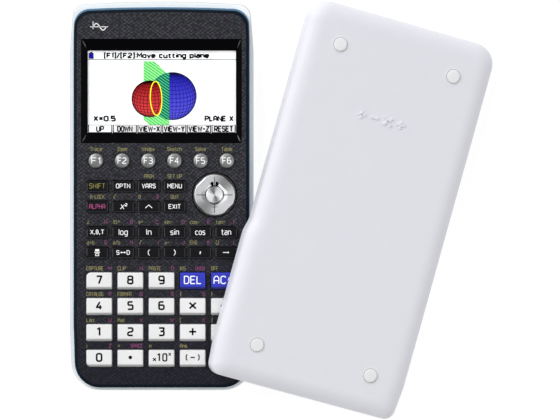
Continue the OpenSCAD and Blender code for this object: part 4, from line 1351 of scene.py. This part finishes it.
def slide_cover():
    """Soft white shell, open below, with rounded edges, inner rails and a row of raised operator signs."""
    edge_w, edge_h = 8.6 * MM, 4.8 * MM
    shape = Shape()
    rings = []

    def ring(inset, z, lip=True, swell=True):
        points = []
        for x, y in cover_outline(inset):
            base = lip_height(x, y) if lip else 0.0
            points.append((swelled(x, y) if swell else x, y, max(z, base) if z < COVER_D - edge_h else z))
        return points

    def lowered(points):
        return [(x, y, z - 0.3 * MM if z > 0.3 * MM else 0.0) for x, y, z in points]

    turns = [i / 8 * pi / 2 for i in range(9)]
    in_w, in_h = edge_w - COVER_WALL, edge_h - COVER_WALL
    roof = COVER_D - COVER_WALL
    for a in turns:
        rings.append(ring(COVER_WALL + in_w * (1 - sin(a)), roof - in_h * (1 - cos(a)), False, False))
    rings.append(ring(COVER_WALL, 0.3 * MM, swell=False))
    rings.append(lowered(ring(COVER_WALL - 0.3 * MM, 0.3 * MM, swell=False)))
    rings.append(lowered(ring(0.35 * MM, 0.3 * MM)))
    rings.append(ring(0, 0.35 * MM))
    rings.append(ring(0, COVER_D - edge_h, False))
    for a in turns[1:]:
        rings.append(ring(edge_w * (1 - cos(a)), COVER_D - edge_h + edge_h * sin(a), False))
    shape.loft(rings)
    rail_w, rail_l = 0.8 * MM, 70 * MM
    for side in (-1, 1):
        x = side * (COVER_W / 2 - COVER_WALL - rail_w / 2 + 0.05 * MM)
        shape.box((x - rail_w / 2, -rail_l, 0.4 * MM), (x + rail_w / 2, rail_l, 1.8 * MM))
    signs_y, low, high, slope = 45.4 * MM, COVER_D - 0.2 * MM, COVER_D + 0.55 * MM, 0.45 * MM
    size, stroke, pitch = 5.0 * MM, 1.0 * MM, 6.7 * MM
    for i, char in enumerate("+-x-"):
        glyph(shape, char, (i - 1.5) * pitch, signs_y, size, size, stroke, low, high, spread=slope)
    for dy in (-1.5 * MM, 1.5 * MM):
        shape.loft([round_ring(1.5 * pitch, signs_y + dy, r, z, 24)
                    for r, z in ((0.95 * MM, low), (0.5 * MM, high))])
    piece = shape.object("cover_shell", [COVER_PLASTIC])
    piece.data.transform(cover_matrix())
    ride(weighted(piece), "slide_cover", "cover_plastic", "slide_cover")


def cover_feet():
    """Four round feet with softened rims, each in a shallow ring."""
    shape = Shape()
    for x in (-29 * MM, 29 * MM):
        for y in (-75 * MM, 75 * MM):
            rings = [round_ring(x + FOOT_SHIFT, y, r * MM, COVER_D + z * MM, 48) for r, z in (
                (3.75, 0.01), (3.75, 0.3), (3.62, 0.38), (3.5, 0.3), (3.42, 0.1), (3.3, 0.1), (3.22, 0.55),
                (3.1, 0.68), (2.7, 0.76), (1.6, 0.8))]
            # the groove's bands take the darker grey as painted shade
            shape.loft(rings, band_numbers=[0, 0, 0, 1, 1, 1, 0, 0, 0])
    piece = shape.object("cover_feet_rubber", [FOOT_RUBBER, FOOT_GROOVE_SHADE])
    piece.data.transform(cover_matrix())
    ride(weighted(piece), "slide_cover", "foot_rubber", "cover_feet")


# ---------------------------------------------------------------- back and inside

def battery_door():
    """White door with softened edges, a ribbed finger grip and two hooks."""
    x0, x1, y0, y1 = door_low[0], door_high[0], door_low[1], door_high[1] - 2 * MM
    z0, z1 = door_low[2], 1.4 * MM
    w, l, cx, cy = x1 - x0, y1 - y0, (x0 + x1) / 2, (y0 + y1) / 2
    shape = Shape()
    shape.loft([at(rectangle(cx, cy, w - 2 * i * MM, l - 2 * i * MM, (0.8 * MM,) * 4), z) for i, z in
                ((0.35, z0), (0.1, z0 + 0.12 * MM), (0, z0 + 0.35 * MM), (0, z1))])
    for side in (-1, 1):
        x = side * 14 * MM
        shape.box((x - 3 * MM, y1 - 4 * MM, z1 - 0.1 * MM), (x + 3 * MM, y1 - 2.8 * MM, 1.8 * MM))
        shape.box((x - 3 * MM, y1 - 4 * MM, 1.7 * MM), (x + 3 * MM, y1 + 2 * MM, 2.6 * MM))
    # the door takes the shell's grey painted shade
    piece = shape.object("battery_door_plate", [SHELL_PAINTED_SHADE])
    grip = Shape()
    for i in range(4):
        y = y0 + (3 + 1.6 * i) * MM
        grip.box((cx - (7 - i) * MM, y, z0 - MM), (cx + (7 - i) * MM, y + 0.7 * MM, z0 + 0.35 * MM))
    carve(piece, grip)
    ride(weighted(piece), "battery_door", "white_shell", "battery_door")


def carried_over_nodes():
    """Better materials for the CAD nodes that stay."""
    for node, material in (("main_board", BOARD), ("rubber_keypad", GREY_RUBBER), ("batteries", CELL_SLEEVE),
                           ("case_screws", SCREW_STEEL), ("restart_button", DARK_PLASTIC),
                           ("display_module", DARK_PLASTIC)):
        node_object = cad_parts[node]
        node_object.data.materials.clear()
        node_object.data.materials.append(material)


# ---------------------------------------------------------------- stage

def stage():
    """Pale floor, soft light and a camera straight above."""
    scene = bpy.context.scene
    scene.view_settings.view_transform = "Standard"

    floor_mesh = bpy.data.meshes.new("floor")
    reach = 3.0
    corners = [(-reach, -reach), (reach, -reach), (reach, reach), (-reach, reach)]
    floor_mesh.from_pydata(at(corners, -0.2 * MM), [], [(0, 1, 2, 3)])
    floor = bpy.data.objects.new("floor", floor_mesh)
    scene.collection.objects.link(floor)
    paper = Finish("floor paper")
    uneven = paper.between(paper.noise(0.4, 2), 0, 1)
    paper.shade({"Base Color": paper.blended(uneven, (0.25,) * 3, (0.27,) * 3), "Roughness": 0.9,
                 "Specular IOR Level": 0.1, "Emission Color": (1, 1, 1), "Emission Strength": 0.82})
    floor_mesh.materials.append(paper.material)

    scene.world = bpy.data.worlds.new("studio")
    studio = Tree(scene.world)
    direction = studio.axes("Generated")
    overhead = studio.between(direction["Z"], 1.0, 0.4, 0.45, 0.95)
    across = studio.maths("MULTIPLY", direction["X"], -0.5)
    along = studio.maths("MULTIPLY", direction["Y"], 0.85)
    side = studio.between(studio.maths("ADD", across, along), 0.3, 1.25, -0.9, 0.9)
    background = studio.nodes["Background"].inputs
    studio.set(background["Strength"], studio.maths("MULTIPLY", overhead, side))
    studio.set(background["Color"], (0.97, 0.985, 1))

    for name, place, size, power in (("key_light", (-0.9, 0.8, 1.5), 1.0, 16.6),
                                     ("fill_light", (0.9, -0.5, 1.6), 1.2, 7.0)):
        light = bpy.data.lights.new(name, "AREA")
        light.shape = "DISK"
        light.size = size
        light.energy = power
        lamp = bpy.data.objects.new(name, light)
        lamp.location = place
        lamp.rotation_euler = (Vector((0.057, -0.007, 0)) - Vector(place)).to_track_quat("-Z", "Y").to_euler()
        scene.collection.objects.link(lamp)

    view_w = 270.5 * MM
    lens, sensor = 350.0, 36.0
    camera_data = bpy.data.cameras.new("camera")
    camera_data.lens = lens
    camera_data.sensor_width = sensor
    camera_data.clip_end = 20
    camera = bpy.data.objects.new("camera", camera_data)
    camera.location = (57.3 * MM, -6.9 * MM, FACE_Z + view_w * lens / sensor)
    scene.collection.objects.link(camera)
    scene.camera = camera


stage()
rear_case()
accent_trim()
front_case()
display_window()
screen_picture()
for key_name in KEYS:
    key(key_name)
cursor_pad()
printed_labels()
slide_cover()
cover_feet()
battery_door()
carried_over_nodes()
